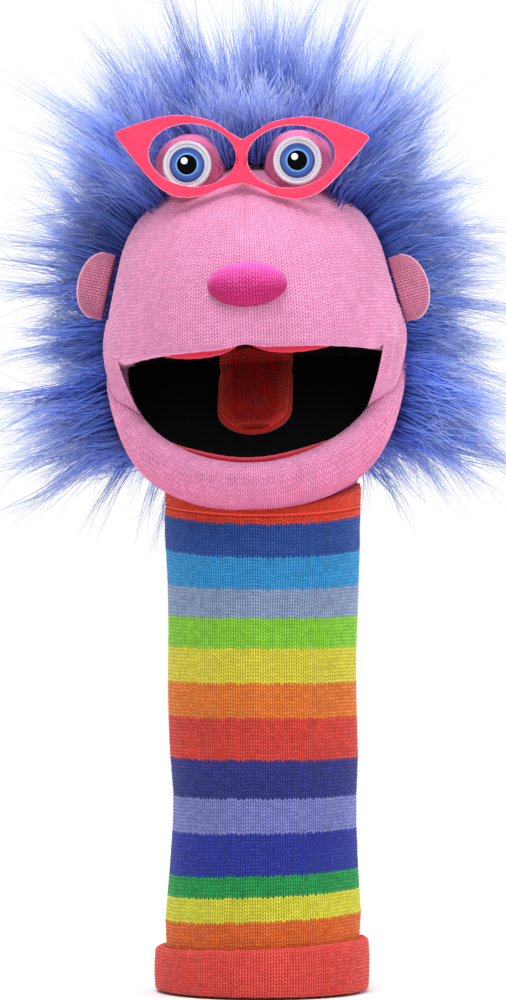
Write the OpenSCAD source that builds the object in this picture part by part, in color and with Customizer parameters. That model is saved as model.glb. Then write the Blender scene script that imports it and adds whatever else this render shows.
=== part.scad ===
// Knitted hand puppet: a striped sleeve for the arm, a padded head with a hinged
// mouth, felt glasses, stitched eyes, a tongue flap, soft ears and long fur hair.
// Millimetres. +Z is up, the face looks along -Y, and the origin is the centre
// of the arm opening at the bottom of the cuff.

/* [Sleeve] */
// Inner radius of the sleeve, which the forearm fills
arm_r = 35.5; // [30:0.5:42]
// Thickness of the knitted cloth
knit_t = 2; // [1.5:0.25:2.5]
// Height of the sleeve, from the cuff's bottom to the neck seam
sleeve_h = 197; // [164:1:238]
// Inner radius of the arm opening at the cuff
opening_r = 37; // [32:0.5:44]
// Height of the turned-up cuff
cuff_h = 19.5; // [14:0.5:26]
// Thickness of the cuff's turned-up layer
cuff_t = 3; // [2:0.25:4]

/* [Head] */
// Half width of the head
head_a = 58; // [48:1:70]
// Depth of the head in front of its centre
head_front = 62; // [50:1:75]
// Depth of the head behind its centre
head_back = 57; // [47:1:69]
// Height of the head above the mouth
head_c = 76; // [63:1:92]
// Height of the mouth's hinge line above the neck seam
mouth_up = 62; // [58:1:75]
// How far the head leans to its right, in degrees
head_roll = 2; // [-5:0.5:5]
// How far the head is turned to its right, in degrees
head_yaw = 4; // [-8:0.5:8]
// Thickness of the head's foam padding
foam_t = 7; // [4:0.5:10]

/* [Mouth] */
// How far the jaw hangs open, in degrees
jaw_open = 43; // [36:1:45]
// Half width of the mouth boards
board_a = 50; // [42:1:60]
// Depth of the mouth boards, from the hinge line to the front
board_b = 66; // [54:1:79]
// Thickness of a mouth board
board_t = 2; // [1:0.25:3]
// Thickness of the black mouth lining
lining_t = 1; // [0.8:0.1:1.5]
// Depth of the jaw below its board
jaw_c = 37; // [30:1:38]
// How far the jaw's lip stands out beyond the board
lip_w = 8; // [6:0.5:10]
// Width of the felt trim inside each lip
trim_w = 5; // [3:0.5:7]
// Radius of the hinge roll, which sets the boards this far from the hinge line
fold_r = 3; // [3:0.2:4]

/* [Tongue] */
// Width of the tongue
tongue_w = 30; // [22:1:38]
// Length of the tongue
tongue_l = 42; // [34:1:51]
// Thickness of the tongue
tongue_t = 4; // [3:0.5:5]

/* [Face] */
// Distance of each eye from the middle
eye_x = 22; // [18:0.5:27]
// Height of the eyes above the mouth
eye_up = 73; // [64:1:90]
// Radius of an eyeball
eye_r = 14; // [11.5:0.5:17]
// Radius of the felt white of an eye
white_r = 10; // [8:0.5:12]
// Radius of the blue iris
iris_r = 7; // [5.5:0.25:8.5]
// Radius of the black pupil
pupil_r = 3.9; // [3:0.1:4.7]
// Thickness of the felt glasses
glasses_t = 2.4; // [1.5:0.1:3.5]
// Half width of the glasses
glasses_w = 51; // [42:0.5:61]
// Width of the nose
nose_w = 32; // [26:1:38]
// Height of the nose
nose_h = 17; // [14:1:21]
// How far the nose sits to the left of the middle
nose_x = 2; // [-4:0.5:4]
// How far the nose stands out
nose_d = 9; // [6:0.5:12]
// Height of the nose above the mouth
nose_up = 24.5; // [20:1:32]
// Height of an ear
ear_h = 27; // [21:1:33]
// How far an ear stands out
ear_w = 17; // [13:0.5:21]
// Thickness of an ear
ear_t = 8; // [6:0.5:11]
// Height of the ears above the mouth
ear_up = 24; // [16:1:30]

/* [Hair] */
// Length of the hair beyond the fur's backing, at the sides
hair_side = 40; // [30:1:50]
// Length of the hair on top
hair_top_l = 60; // [48:1:72]
// Length of the hair at the back
hair_back_l = 40; // [30:1:50]
// Thickness of the fur's backing
backing_t = 1.5; // [1:0.25:2.5]

/* [Hidden] */

pink = "#f29cc6";
rose = "#cd6487";
magenta = "#e0358f";
crimson = "#c92b4b";
blue_fur = "#4f6bd0";

gap = 0.3;
sleeve_r = arm_r + knit_t;
flare_r = opening_r + knit_t;
flare_h = cuff_h + 12;
mouth_z = sleeve_h + mouth_up;
lip_z = mouth_z + 1;
centre_y = -10;
turn_z = sleeve_h;

// Heights where the sleeve's sections meet: between the firm ones it bends or twists
bend_lo = 0.22 * sleeve_h;
bend_hi = 0.34 * sleeve_h;
twist_lo = 0.42 * sleeve_h;
twist_hi = 0.57 * sleeve_h;
flex_lo = 0.65 * sleeve_h;
flex_hi = 0.84 * sleeve_h;
stripes = [
    [0.000, "#e56b31"], [0.154, "#c9bc4b"], [0.204, "#2d8d49"], [0.250, "#283788"],
    [0.331, "#7176ad"], [0.406, "#353878"], [0.482, "#d14742"], [0.566, "#ea783c"],
    [0.637, "#cdbf4c"], [0.711, "#8bbc50"], [0.772, "#8596ae"], [0.834, "#4282bc"],
    [0.908, "#2f4a85"], [0.980, "#e8452e"], [1.000, "#e8452e"]
];

// Evenly spaced values from lo to hi
function span(lo, hi, n) = [for (i = [0:n]) lo + (hi - lo) * i / n];

// Shell of the head: a dome over the mouth line, deeper in front than behind
function dome(o, t, f) = [
    (head_a + o) * sin(t) * cos(f),
    centre_y + ((sin(f) < 0 ? head_front : head_back) + o) * sin(t) * sin(f),
    lip_z + (head_c + o) * cos(t)
];

// Nape: from the dome's rim at the back down to the neck seam
function nape(o, s, f) = let (k = 1 - s * s)
    [
        (sleeve_r + o + (head_a - sleeve_r) * k) * cos(f),
        centre_y * k + (sleeve_r + o + (head_back - sleeve_r) * k) * sin(f),
        mouth_z - s * mouth_up
    ];

// The fur's backing lies this far off the dome
backing_in = gap + 0.5;
backing_out = backing_in + backing_t;

// Outer face of the hair: s runs from the roots (0) to the tips (1)
function hair(s, t, f) = let (
        len_r = hair_side + (hair_back_l - hair_side) * max(0, sin(f)),
        root = backing_out + 1.2,
        far = len_r + (hair_top_l - len_r) * pow(max(0, cos(t)), 2)
    )
    dome(root + s * far, t, f);

// A solid between two grids of points with the same shape, closed round its four edges
module slab(near, far) {
    m = len(near);
    n = len(near[0]);
    off = m * n;
    points = concat([for (row = near) for (p = row) p], [for (row = far) for (p = row) p]);
    quads = concat(
        [for (i = [0:m - 2]) for (j = [0:n - 2])
            [i * n + j, i * n + j + 1, (i + 1) * n + j + 1, (i + 1) * n + j]],
        [for (i = [0:m - 2]) for (j = [0:n - 2])
            [off + i * n + j, off + (i + 1) * n + j, off + (i + 1) * n + j + 1, off + i * n + j + 1]],
        [for (i = [0:m - 2]) [i * n, (i + 1) * n, off + (i + 1) * n, off + i * n]],
        [for (i = [0:m - 2])
            [(i + 1) * n + n - 1, i * n + n - 1, off + i * n + n - 1, off + (i + 1) * n + n - 1]],
        [for (j = [0:n - 2]) [j + 1, j, off + j, off + j + 1]],
        [for (j = [0:n - 2])
            [(m - 1) * n + j, (m - 1) * n + j + 1, off + (m - 1) * n + j + 1, off + (m - 1) * n + j]]
    );
    polyhedron(points, [for (q = quads) for (t = [[q[0], q[1], q[2]], [q[0], q[2], q[3]]]) t]);
}

// A solid swept through a list of closed rings, each with the same number of points
module loft(rings) {
    m = len(rings);
    n = len(rings[0]);
    points = [for (r = rings) for (p = r) p];
    sides = [for (i = [0:m - 2]) for (j = [0:n - 1])
        let (k = (j + 1) % n) for (t = [
            [i * n + j, i * n + k, (i + 1) * n + k],
            [i * n + j, (i + 1) * n + k, (i + 1) * n + j]
        ]) t];
    ends = [[for (j = [n - 1:-1:0]) j], [for (j = [0:n - 1]) (m - 1) * n + j]];
    polyhedron(points, concat(sides, ends));
}

// The boards start this far from the hinge line
back_gap = fold_r + gap;

// The head leans and turns about the neck; everything on it stands in this frame
module on_head() {
    translate([0, 0, turn_z])
        rotate([0, -head_roll, -head_yaw])
            translate([0, 0, -turn_z])
                children();
}

// The jaw's own frame: the hinge line is X, the board lies flat and -Y is forward
module on_jaw() {
    on_head()
        translate([0, 0, mouth_z])
            rotate([jaw_open, 0, 0])
                children();
}

// ---- Sleeve ----

module tube(z0, z1, r_out, r_in) {
    translate([0, 0, z0])
        difference() {
            cylinder(r = r_out, h = z1 - z0, $fn = 72);
            translate([0, 0, -1])
                cylinder(r = r_in, h = z1 - z0 + 2, $fn = 72);
        }
}

// A length of the sleeve in its stripes
module sleeve_part(z0, z1) {
    for (i = [0:len(stripes) - 2]) {
        lo = max(z0, stripes[i][0] * sleeve_h);
        hi = min(z1, stripes[i + 1][0] * sleeve_h);
        if (hi > lo)
            color(stripes[i][1])
                tube(lo, hi, sleeve_r, arm_r);
    }
}

module cuff_band() {
    color("#d84c46")
        rotate_extrude($fn = 72)
            union() {
                translate([flare_r + gap, cuff_t / 2])
                    square([cuff_t, cuff_h - cuff_t]);
                translate([flare_r + gap + cuff_t / 2, cuff_t / 2])
                    circle(r = cuff_t / 2, $fn = 24);
                translate([flare_r + gap + cuff_t / 2, cuff_h - cuff_t / 2])
                    circle(r = cuff_t / 2, $fn = 24);
            }
}

module sleeve_lower() {
    color(stripes[0][1])
        rotate_extrude($fn = 72)
            polygon([
                [opening_r, 0], [flare_r, 0], [flare_r, cuff_h],
                [sleeve_r, flare_h], [arm_r, flare_h], [opening_r, cuff_h]
            ]);
    sleeve_part(flare_h, bend_lo);
}

module sleeve_bend() {
    sleeve_part(bend_lo, bend_hi);
}

module sleeve_middle() {
    sleeve_part(bend_hi, twist_lo);
}

module sleeve_twist() {
    sleeve_part(twist_lo, twist_hi);
}

module sleeve_wrist() {
    sleeve_part(twist_hi, flex_lo);
}

module sleeve_flex() {
    sleeve_part(flex_lo, flex_hi);
}

seam_h = 3;
module sleeve_top() {
    sleeve_part(flex_hi, sleeve_h - seam_h);
}

// The sewn ring that joins the sleeve to the head
module neck_seam() {
    color("#e8452e")
        tube(sleeve_h - seam_h, sleeve_h, sleeve_r, arm_r);
}

// ---- Head ----

dome_n = 40;
pole_t = 6;
dome_steps = 12;
function dome_ring(o, t) = [for (j = [0:dome_n - 1]) dome(o, t, j * 360 / dome_n)];
function dome_bowl(o_out, o_in, rim_t) = concat(
    [for (i = [0:dome_steps]) dome_ring(o_out, pole_t + (rim_t - pole_t) * i / dome_steps)],
    [for (i = [dome_steps:-1:0]) dome_ring(o_in, pole_t + (rim_t - pole_t) * i / dome_steps)]
);

module head_cover() {
    color(pink)
        on_head()
            loft(dome_bowl(0, -knit_t, 90));
}

// The padding lines the dome, and stands on the mouth lining
foam_rim = 90 - asin((fold_r + lining_t + gap - (lip_z - mouth_z)) / (head_c - knit_t - foam_t));
module head_foam() {
    color("#f4efe2")
        on_head()
            loft(dome_bowl(-knit_t - gap, -knit_t - foam_t, foam_rim));
}

nape_from = 22;
nape_to = 180 - nape_from;
module nape_cover() {
    color(pink)
        on_head()
            slab(
                [for (i = [0:8]) [for (j = [0:20]) nape_at(0, i / 8, j / 20)]],
                [for (i = [0:8]) [for (j = [0:20]) nape_at(-knit_t, i / 8, j / 20)]]
            );
}
function nape_at(o, s, u) = nape(o, s, nape_from + (nape_to - nape_from) * u)
    + [0, 0, (s == 1 ? gap + 1 : 0)];

// Half an ellipse in the board's plane, from the hinge line forward (-Y)
arc_n = 24;
function half_arc(a, b, w) = [
    for (j = [0:arc_n]) [a * cos(180 * j / arc_n), -b * sin(180 * j / arc_n), w]
];

module board_plate(a, b, t) {
    linear_extrude(height = t)
        polygon([for (p = half_arc(a, b, 0)) [p[0], p[1]]]);
}

module on_upper() {
    on_head()
        translate([0, -back_gap, mouth_z])
            children();
}
upper_b = head_front - centre_y - back_gap - knit_t - gap - 1;
upper_a = head_a - knit_t - gap - 1;
board_in = foam_t + gap;

module upper_mouth_board() {
    color("#b9a27c")
        on_upper()
            translate([0, 0, fold_r + lining_t])
                board_plate(upper_a - board_in, upper_b - board_in, board_t);
}

module upper_mouth_lining() {
    color("#101012")
        on_upper()
            translate([0, 0, fold_r])
                board_plate(upper_a, upper_b, lining_t);
}

// Felt edging that hangs inside the upper lip, deepest in the middle
trim_t = 1.5;
function trim_edge(o, low) = [
    for (j = [0:arc_n]) let (f = 180 * j / arc_n)
        [(upper_a - o) * cos(f), -(upper_b - o) * sin(f), fold_r - gap - low * (1.8 + trim_w * sin(f))]
];
module upper_lip_trim() {
    color(crimson)
        on_upper()
            slab([trim_edge(0, 0), trim_edge(0, 1)], [trim_edge(trim_t, 0), trim_edge(trim_t, 1)]);
}

// Half a tube of cloth on a board, open at the back for the hand
module half_tunnel(r, l, t) {
    rotate([90, 0, 0])
        linear_extrude(height = l)
            difference() {
                intersection() {
                    circle(r = r, $fn = 48);
                    translate([-r, 0])
                        square([2 * r, r]);
                }
                circle(r = r - t, $fn = 48);
            }
}

pocket_r = 33;
pocket_l = 34;
module finger_pocket() {
    color("#2b2b30")
        on_upper()
            translate([0, 0, fold_r + lining_t + board_t])
                half_tunnel(pocket_r, pocket_l, 1.5);
}

// The rolled fold between the two mouth boards, on the jaw's hinge line
module mouth_fold() {
    color("#101012")
        on_head()
            translate([0, 0, mouth_z])
                rotate([0, 90, 0])
                    cylinder(r = fold_r, h = 2 * (board_a - 4), center = true, $fn = 32);
}

// ---- Nose ----

function pad_ring(w, h, d, s, n) = [
    for (j = [0:n - 1])
        [w * cos(360 * j / n) * cos(s), -d * sin(s), h * sin(360 * j / n) * cos(s)]
];
nose_y = centre_y - head_front * sqrt(1 - pow(nose_up / head_c, 2));
nose_tilt = atan(head_front * nose_up / (head_c * head_c * sqrt(1 - pow(nose_up / head_c, 2))));

module on_nose() {
    on_head()
        translate([nose_x, nose_y - gap, lip_z + nose_up])
            rotate([-nose_tilt, 0, 0])
                children();
}

nose_skin = 1.5;
module nose_cover() {
    color(magenta)
        on_nose()
            loft(concat(
                [for (s = [80:-20:0]) pad_ring(nose_w / 2, nose_h / 2, nose_d, s, 28)],
                [for (s = [0:20:80])
                    pad_ring(nose_w / 2 - nose_skin, nose_h / 2 - nose_skin, nose_d - nose_skin, s, 28)]
            ));
}

module nose_stuffing() {
    color("#f6f4ee")
        on_nose()
            loft([for (s = [80:-20:0])
                pad_ring(
                    nose_w / 2 - nose_skin - gap, nose_h / 2 - nose_skin - gap,
                    nose_d - nose_skin - gap, s, 28)]);
}

// ---- Eyes ----

eye_y = -31;
eye_tilt = 4;
module on_eye(side) {
    on_head()
        translate([side * eye_x, eye_y, mouth_z + eye_up])
            rotate([90 - eye_tilt, 0, 0])
                children();
}

// Where an eyeball sits on the dome: the foot of the line from its centre, and the way out there
foot_f = atan2((eye_y - centre_y) / head_front, eye_x / head_a);
foot_t = atan2(
    norm([eye_x / head_a, (eye_y - centre_y) / head_front]),
    (mouth_z + eye_up - lip_z) / head_c
);
foot = dome(gap, foot_t, foot_f);
out_x = foot[0] / pow(head_a, 2);
out_y = (foot[1] - centre_y) / pow(head_front, 2);
out_z = (foot[2] - lip_z) / pow(head_c, 2);
module below_foot(side) {
    on_head()
        translate([side * foot[0], foot[1], foot[2]])
            rotate([0, acos(out_z / norm([out_x, out_y, out_z])), atan2(out_y, side * out_x)])
                translate([-eye_r * 2, -eye_r * 2, -eye_r * 4])
                    cube([eye_r * 4, eye_r * 4, eye_r * 4]);
}

// An eyeball is a knitted dome, open at the back where it is sewn on
eye_back = 5;
eye_flat = 1.2;
eye_skin = 1.5;
module eyeball_cover(side) {
    color(pink)
        difference() {
            on_eye(side)
                rotate_extrude($fn = 48)
                    intersection() {
                        difference() {
                            circle(r = eye_r, $fn = 48);
                            circle(r = eye_r - eye_skin, $fn = 48);
                        }
                        translate([0, -eye_back])
                            square([eye_r, eye_r + eye_back - eye_flat]);
                    }
            below_foot(side);
        }
}

module eyeball_stuffing(side) {
    color("#f6f4ee")
        difference() {
            on_eye(side)
                rotate_extrude($fn = 48)
                    intersection() {
                        circle(r = eye_r - eye_skin - gap, $fn = 48);
                        translate([0, -eye_back])
                            square([eye_r, eye_r + eye_back]);
                    }
            below_foot(side);
        }
}

module eyeball_cover_left() {
    eyeball_cover(1);
}
module eyeball_cover_right() {
    eyeball_cover(-1);
}
module eyeball_stuffing_left() {
    eyeball_stuffing(1);
}
module eyeball_stuffing_right() {
    eyeball_stuffing(-1);
}

eye_front = eye_r - eye_flat + gap;
white_t = 1.2;
thread_t = 0.5;
module eye_disc(side, r, z, h, hole = 0) {
    on_eye(side)
        translate([0, 0, eye_front + z])
            difference() {
                cylinder(r = r, h = h, $fn = 48);
                if (hole > 0)
                    translate([0, 0, -1])
                        cylinder(r = hole, h = h + 2, $fn = 48);
            }
}

module eye_white_left() {
    color("#d9dbe0")
        eye_disc(1, white_r - 1.6, 0, white_t);
}
module eye_white_right() {
    color("#d9dbe0")
        eye_disc(-1, white_r - 1.6, 0, white_t);
}
// The stitched rim that stands proud round the white
module eye_rim_left() {
    color("#e9ecf2")
        eye_disc(1, white_r, 0, white_t + thread_t, white_r - 1.55);
}
module eye_rim_right() {
    color("#e9ecf2")
        eye_disc(-1, white_r, 0, white_t + thread_t, white_r - 1.55);
}
// Iris and pupil are satin stitch, one on the other
iris_z = white_t;
pupil_z = iris_z + thread_t;
glint_z = pupil_z + thread_t;
module iris_left() {
    color("#2554a8")
        eye_disc(1, iris_r, iris_z, thread_t);
}
module iris_right() {
    color("#2554a8")
        eye_disc(-1, iris_r, iris_z, thread_t);
}
module pupil_left() {
    color("#0b0b0e")
        eye_disc(1, pupil_r, pupil_z, thread_t);
}
module pupil_right() {
    color("#0b0b0e")
        eye_disc(-1, pupil_r, pupil_z, thread_t);
}
glint_r = 1.3;
module glint(side) {
    color("white")
        on_eye(side)
            translate([-1, 1.5, eye_front + glint_z])
                cylinder(r = glint_r, h = 0.3, $fn = 24);
}
module glint_left() {
    glint(1);
}
module glint_right() {
    glint(-1);
}

// ---- Glasses ----

glasses_y = eye_y - eye_front - glint_z - 1.2;
glasses_lean = 4;

// Half of the cat-eye outline, from the notch over the nose round to the bridge below,
// as shares of the half width
cat_eye = [
    [0, 0.167], [0.1, 0.226], [0.24, 0.31], [0.47, 0.353], [0.65, 0.333], [0.8, 0.286],
    [0.94, 0.235], [0.99, 0.196], [0.95, 0.133], [0.86, 0.02], [0.75, -0.11], [0.647, -0.212],
    [0.53, -0.275], [0.427, -0.294], [0.275, -0.27], [0.157, -0.216], [0, -0.173]
];
function curve_at(p, u) = 0.5 * (
    2 * p[1] + (p[2] - p[0]) * u + (2 * p[0] - 5 * p[1] + 4 * p[2] - p[3]) * u * u
    + (3 * p[1] - p[0] - 3 * p[2] + p[3]) * u * u * u
);
function smooth(p, steps) = let (n = len(p)) [
    for (i = [0:n - 2]) for (k = [0:steps - 1])
        curve_at([p[max(0, i - 1)], p[i], p[i + 1], p[min(n - 1, i + 2)]], k / steps)
];
half_eye = smooth(glasses_w * cat_eye, 3);
lens_x = 0.385 * glasses_w;
lens_z = 0.04 * glasses_w;
lens_rx = 0.315 * glasses_w;
lens_rz = 0.235 * glasses_w;
lens_tilt = 5;
function lens_edge(side) = [
    for (j = [0:35]) let (a = 10 * j, u = lens_rx * cos(a), v = lens_rz * sin(a))
        [
            side * (lens_x + u * cos(lens_tilt) - v * sin(lens_tilt)),
            lens_z + u * sin(lens_tilt) + v * cos(lens_tilt)
        ]
];

module on_glasses() {
    on_head()
        translate([0, glasses_y, mouth_z + eye_up])
            rotate([90 - glasses_lean, 0, 0])
                rotate(-head_roll)
                    children();
}

module glasses() {
    color("#ff4262")
        on_glasses()
            linear_extrude(height = glasses_t)
                difference() {
                    polygon(concat(
                        half_eye,
                        [[0, -0.173 * glasses_w]],
                        [for (i = [len(half_eye) - 1:-1:1]) [-half_eye[i][0], half_eye[i][1]]]
                    ));
                    polygon(lens_edge(1));
                    polygon(lens_edge(-1));
                }
}

// Thread tacks that sew the glasses to the face
tack_r = 0.7;
module glasses_tacks() {
    color("#d92c50")
        on_glasses()
            for (x = [-1.6, 1.6])
                translate([x, 0, glasses_t])
                    rotate([90, 0, 0])
                        intersection() {
                            cylinder(r = tack_r, h = 3, center = true, $fn = 16);
                            translate([-tack_r, 0, -2])
                                cube([2 * tack_r, tack_r, 4]);
                        }
}

// ---- Hair ----

face_f = 8;
crown_t = 34;
crown_f = -16;
function hair_low(s, t, f) = let (k = (t - 90) / 35, p = dome(0, 90, f), q = nape(0, k * 0.85, f))
    let (out = backing_out + 1.2 + s * (hair_side * (1 - 0.35 * k)), low = s * 10 * k)
    [q[0] + out * cos(f), q[1] + out * sin(f), q[2] - low];
function fur(s, t, f) = t <= 90 ? hair(s, t, f) : hair_low(s, t, f);

module hair_patch(t0, t1, f0, f1, nt, nf) {
    shy = 0.4;
    color(blue_fur)
        on_head()
            slab(
                [for (t = span(t0 + shy, t1 - shy, nt)) [for (f = span(f0 + shy, f1 - shy, nf)) fur(1, t, f)]],
                [for (t = span(t0 + shy, t1 - shy, nt)) [for (f = span(f0 + shy, f1 - shy, nf)) fur(0, t, f)]]
            );
}

// The knitted backing that carries the fur: it wraps the back of the head
module hair_backing() {
    color("#3a4fb4")
        on_head()
            slab(
                [for (t = span(10, 89, 10)) [for (f = span(face_f, 180 - face_f, 24)) dome(backing_out, t, f)]],
                [for (t = span(10, 89, 10)) [for (f = span(face_f, 180 - face_f, 24)) dome(backing_in, t, f)]]
            );
}
module hair_top() {
    hair_patch(0.6, crown_t, crown_f, 180 - crown_f, 4, 14);
}
module hair_left() {
    hair_patch(crown_t, 122, face_f, 48, 8, 5);
}
module hair_right() {
    hair_patch(crown_t, 122, 132, 180 - face_f, 8, 5);
}
module hair_back() {
    hair_patch(crown_t, 90, 48, 132, 5, 8);
}
module hair_nape() {
    hair_patch(90, 122, 48, 132, 4, 8);
}

// ---- Jaw ----

module lower_plate(a, b, z, t) {
    on_jaw()
        translate([0, -back_gap, z])
            board_plate(a, b - back_gap, t);
}

module lower_mouth_lining() {
    color("#101012")
        lower_plate(board_a, board_b, -fold_r - lining_t, lining_t);
}
module lower_mouth_board() {
    color("#b9a27c")
        lower_plate(board_a, board_b, -fold_r - lining_t - board_t, board_t);
}

// The stuffed roll of the lower lip: r grows from the corners to the front
lip_corner = lip_w / 2 - 0.6;
lip_front = lip_w / 2 + 0.4;
lip_n = 12;
function lip_r(f) = lip_corner + (lip_front - lip_corner) * sin(f);
function lip_ring(f) = let (
        r = lip_r(f),
        c = [(board_a + gap + r) * cos(f), -back_gap - (board_b - back_gap + gap + r) * sin(f), -fold_r]
    )
    [for (k = [0:lip_n - 1]) let (a = 360 * k / lip_n)
        c + [r * cos(a) * cos(f), -r * cos(a) * sin(f), r * sin(a)]];
module lip_roll() {
    color(pink)
        on_jaw()
            loft([for (j = [0:arc_n]) lip_ring(180 * j / arc_n)]);
}

// Felt edging that stands inside the lower lip, highest in the middle
function low_edge(o, up) = [
    for (j = [0:arc_n]) let (f = 180 * j / arc_n)
        [
            (board_a - o) * cos(f),
            -back_gap - (board_b - back_gap - o) * sin(f),
            -fold_r + up * (0.6 + 0.55 * trim_w * sin(f))
        ]
];
module lower_lip_trim() {
    color(crimson)
        on_jaw()
            slab([low_edge(trim_t, 0), low_edge(trim_t, 1)], [low_edge(0, 0), low_edge(0, 1)]);
}

// Bowl of the jaw under its board: a half-ellipse in plan, rounded below, whose back
// edge runs forward as it goes down, to clear the nape
jaw_cut = 16;
function jaw_ring(o, s) = let (k = cos(s), d = sin(s), v = back_gap + jaw_cut * d) [
    for (j = [0:arc_n])
        [
            (board_a + lip_w + o) * k * cos(180 * j / arc_n),
            -v - ((board_b + lip_w + o) * k - (v - back_gap * (1 - k))) * sin(180 * j / arc_n),
            -fold_r - (jaw_c + o) * d
        ]
];
jaw_wall = knit_t;
jaw_from = asin((lip_front + gap) / jaw_c) + 1;
jaw_to = 70;
module jaw_cover() {
    color(pink)
        on_jaw()
            slab(
                [for (s = span(jaw_from, jaw_to, 7)) jaw_ring(-jaw_wall, s)],
                [for (s = span(jaw_from, jaw_to, 7)) jaw_ring(0, s)]
            );
}

jaw_pad = 5;
module jaw_foam() {
    color("#f4efe2")
        on_jaw()
            slab(
                [for (s = span(jaw_from + 5, 62, 6)) jaw_ring(-jaw_wall - gap - jaw_pad, s)],
                [for (s = span(jaw_from + 5, 62, 6)) jaw_ring(-jaw_wall - gap, s)]
            );
}

thumb_r = 17;
thumb_l = 30;
module thumb_pocket() {
    color("#2b2b30")
        on_jaw()
            translate([0, -back_gap, -fold_r - lining_t - board_t])
                rotate([0, 180, 0])
                    half_tunnel(thumb_r, thumb_l, 1.5);
}

// ---- Tongue ----

// It lies on the lower lining and lifts about the rolled seam at its root
root_r = 1.4;
tongue_y = back_gap + root_r + gap;
tongue_felt_t = 1.2;
module tongue_outline(o) {
    hull() {
        translate([-tongue_w / 2 - o, -tongue_w / 2])
            square([tongue_w + 2 * o, 1]);
        translate([0, -tongue_l + tongue_w / 2])
            circle(r = tongue_w / 2 + o, $fn = 40);
    }
    translate([-tongue_w / 2 - o, -tongue_w / 2])
        square([tongue_w + 2 * o, tongue_w / 2 - root_r - gap]);
}
module on_tongue() {
    on_jaw()
        translate([0, -tongue_y, gap - fold_r + root_r])
            children();
}
module tongue_root() {
    color("#7a1015")
        on_tongue()
            rotate([0, 90, 0])
                cylinder(r = root_r, h = tongue_w - 2, center = true, $fn = 24);
}
module tongue_felt() {
    color("#b01c1c")
        on_tongue()
            translate([0, 0, -root_r])
                linear_extrude(height = tongue_felt_t)
                    tongue_outline(0);
}
module tongue_cover() {
    color("#7a1015")
        on_tongue()
            translate([0, 0, tongue_felt_t - root_r])
                linear_extrude(height = tongue_t - tongue_felt_t)
                    tongue_outline(-1.2);
}

// ---- Ears ----

ear_y = centre_y;
ear_lean = atan(head_a * ear_up / (head_c * head_c * sqrt(1 - pow(ear_up / head_c, 2))));
ear_root = head_a * sqrt(1 - pow(ear_up / head_c, 2));
ear_in = ear_t / 2 + gap;
module on_ear(side) {
    on_head()
        translate([side * ear_root, ear_y, lip_z + ear_up])
            rotate([0, -ear_lean, side > 0 ? 0 : 180])
                translate([ear_in, 0, 0])
                    children();
}
function ear_ring(w, h, t, s) = [
    for (j = [0:23])
        let (a = 360 * j / 24)
            [(s > 0 ? w : t / 2) * sin(s), t / 2 * cos(a) * cos(s), h / 2 * sin(a) * cos(s)]
];
ear_skin = 1.2;
module ear_cover(side) {
    color(rose)
        on_ear(side)
            loft(concat(
                [for (s = [80:-16:-48]) ear_ring(ear_w - ear_in, ear_h, ear_t, s)],
                [for (s = [-48:16:80])
                    ear_ring(ear_w - ear_in - ear_skin, ear_h - 2 * ear_skin, ear_t - 2 * ear_skin, s)]
            ));
}
module ear_stuffing(side) {
    color("#f6f4ee")
        on_ear(side)
            loft([for (s = [80:-16:-48])
                ear_ring(
                    ear_w - ear_in - ear_skin - gap, ear_h - 2 * ear_skin - 2 * gap,
                    ear_t - 2 * ear_skin - 2 * gap, s)]);
}
module ear_cover_left() {
    ear_cover(1);
}
module ear_cover_right() {
    ear_cover(-1);
}
module ear_stuffing_left() {
    ear_stuffing(1);
}
module ear_stuffing_right() {
    ear_stuffing(-1);
}

cuff_band();
sleeve_lower();
sleeve_bend();
sleeve_middle();
sleeve_twist();
sleeve_wrist();
sleeve_flex();
sleeve_top();
neck_seam();
head_cover();
head_foam();
nape_cover();
upper_mouth_board();
upper_mouth_lining();
upper_lip_trim();
finger_pocket();
mouth_fold();
nose_cover();
nose_stuffing();
eyeball_cover_left();
eyeball_cover_right();
eyeball_stuffing_left();
eyeball_stuffing_right();
eye_white_left();
eye_white_right();
eye_rim_left();
eye_rim_right();
iris_left();
iris_right();
pupil_left();
pupil_right();
glint_left();
glint_right();
glasses();
glasses_tacks();
hair_backing();
hair_top();
hair_left();
hair_right();
hair_back();
hair_nape();
lower_mouth_board();
lower_mouth_lining();
lower_lip_trim();
thumb_pocket();
lip_roll();
jaw_foam();
jaw_cover();
tongue_root();
tongue_cover();
tongue_felt();
ear_cover_left();
ear_cover_right();
ear_stuffing_left();
ear_stuffing_right();
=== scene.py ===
import math
import bpy
import numpy as np
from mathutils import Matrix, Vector


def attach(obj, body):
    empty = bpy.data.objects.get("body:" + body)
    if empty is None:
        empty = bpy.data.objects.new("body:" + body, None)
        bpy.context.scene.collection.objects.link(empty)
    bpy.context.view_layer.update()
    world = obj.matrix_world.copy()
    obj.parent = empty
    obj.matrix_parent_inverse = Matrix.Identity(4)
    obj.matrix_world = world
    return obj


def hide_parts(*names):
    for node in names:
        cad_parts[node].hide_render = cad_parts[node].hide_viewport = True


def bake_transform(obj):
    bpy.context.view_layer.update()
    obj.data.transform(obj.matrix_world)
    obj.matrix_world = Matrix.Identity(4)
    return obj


# Knitted hand puppet: real stitches, combed fur, felt and embroidery over the CAD frame.
# Lengths are in millimetres until a mesh is made; the shapes are those of part.scad.
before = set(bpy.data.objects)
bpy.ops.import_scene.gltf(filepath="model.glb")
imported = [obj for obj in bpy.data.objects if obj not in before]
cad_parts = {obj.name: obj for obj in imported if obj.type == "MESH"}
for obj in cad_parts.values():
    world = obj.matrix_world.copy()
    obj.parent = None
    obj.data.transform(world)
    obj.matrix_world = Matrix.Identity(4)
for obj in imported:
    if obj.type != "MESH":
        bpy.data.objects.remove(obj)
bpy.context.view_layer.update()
MM = 0.001  # metres in a millimetre
rng = np.random.default_rng(20261119)
pi = math.pi
SIDES = ((1, "left"), (-1, "right"))

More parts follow.
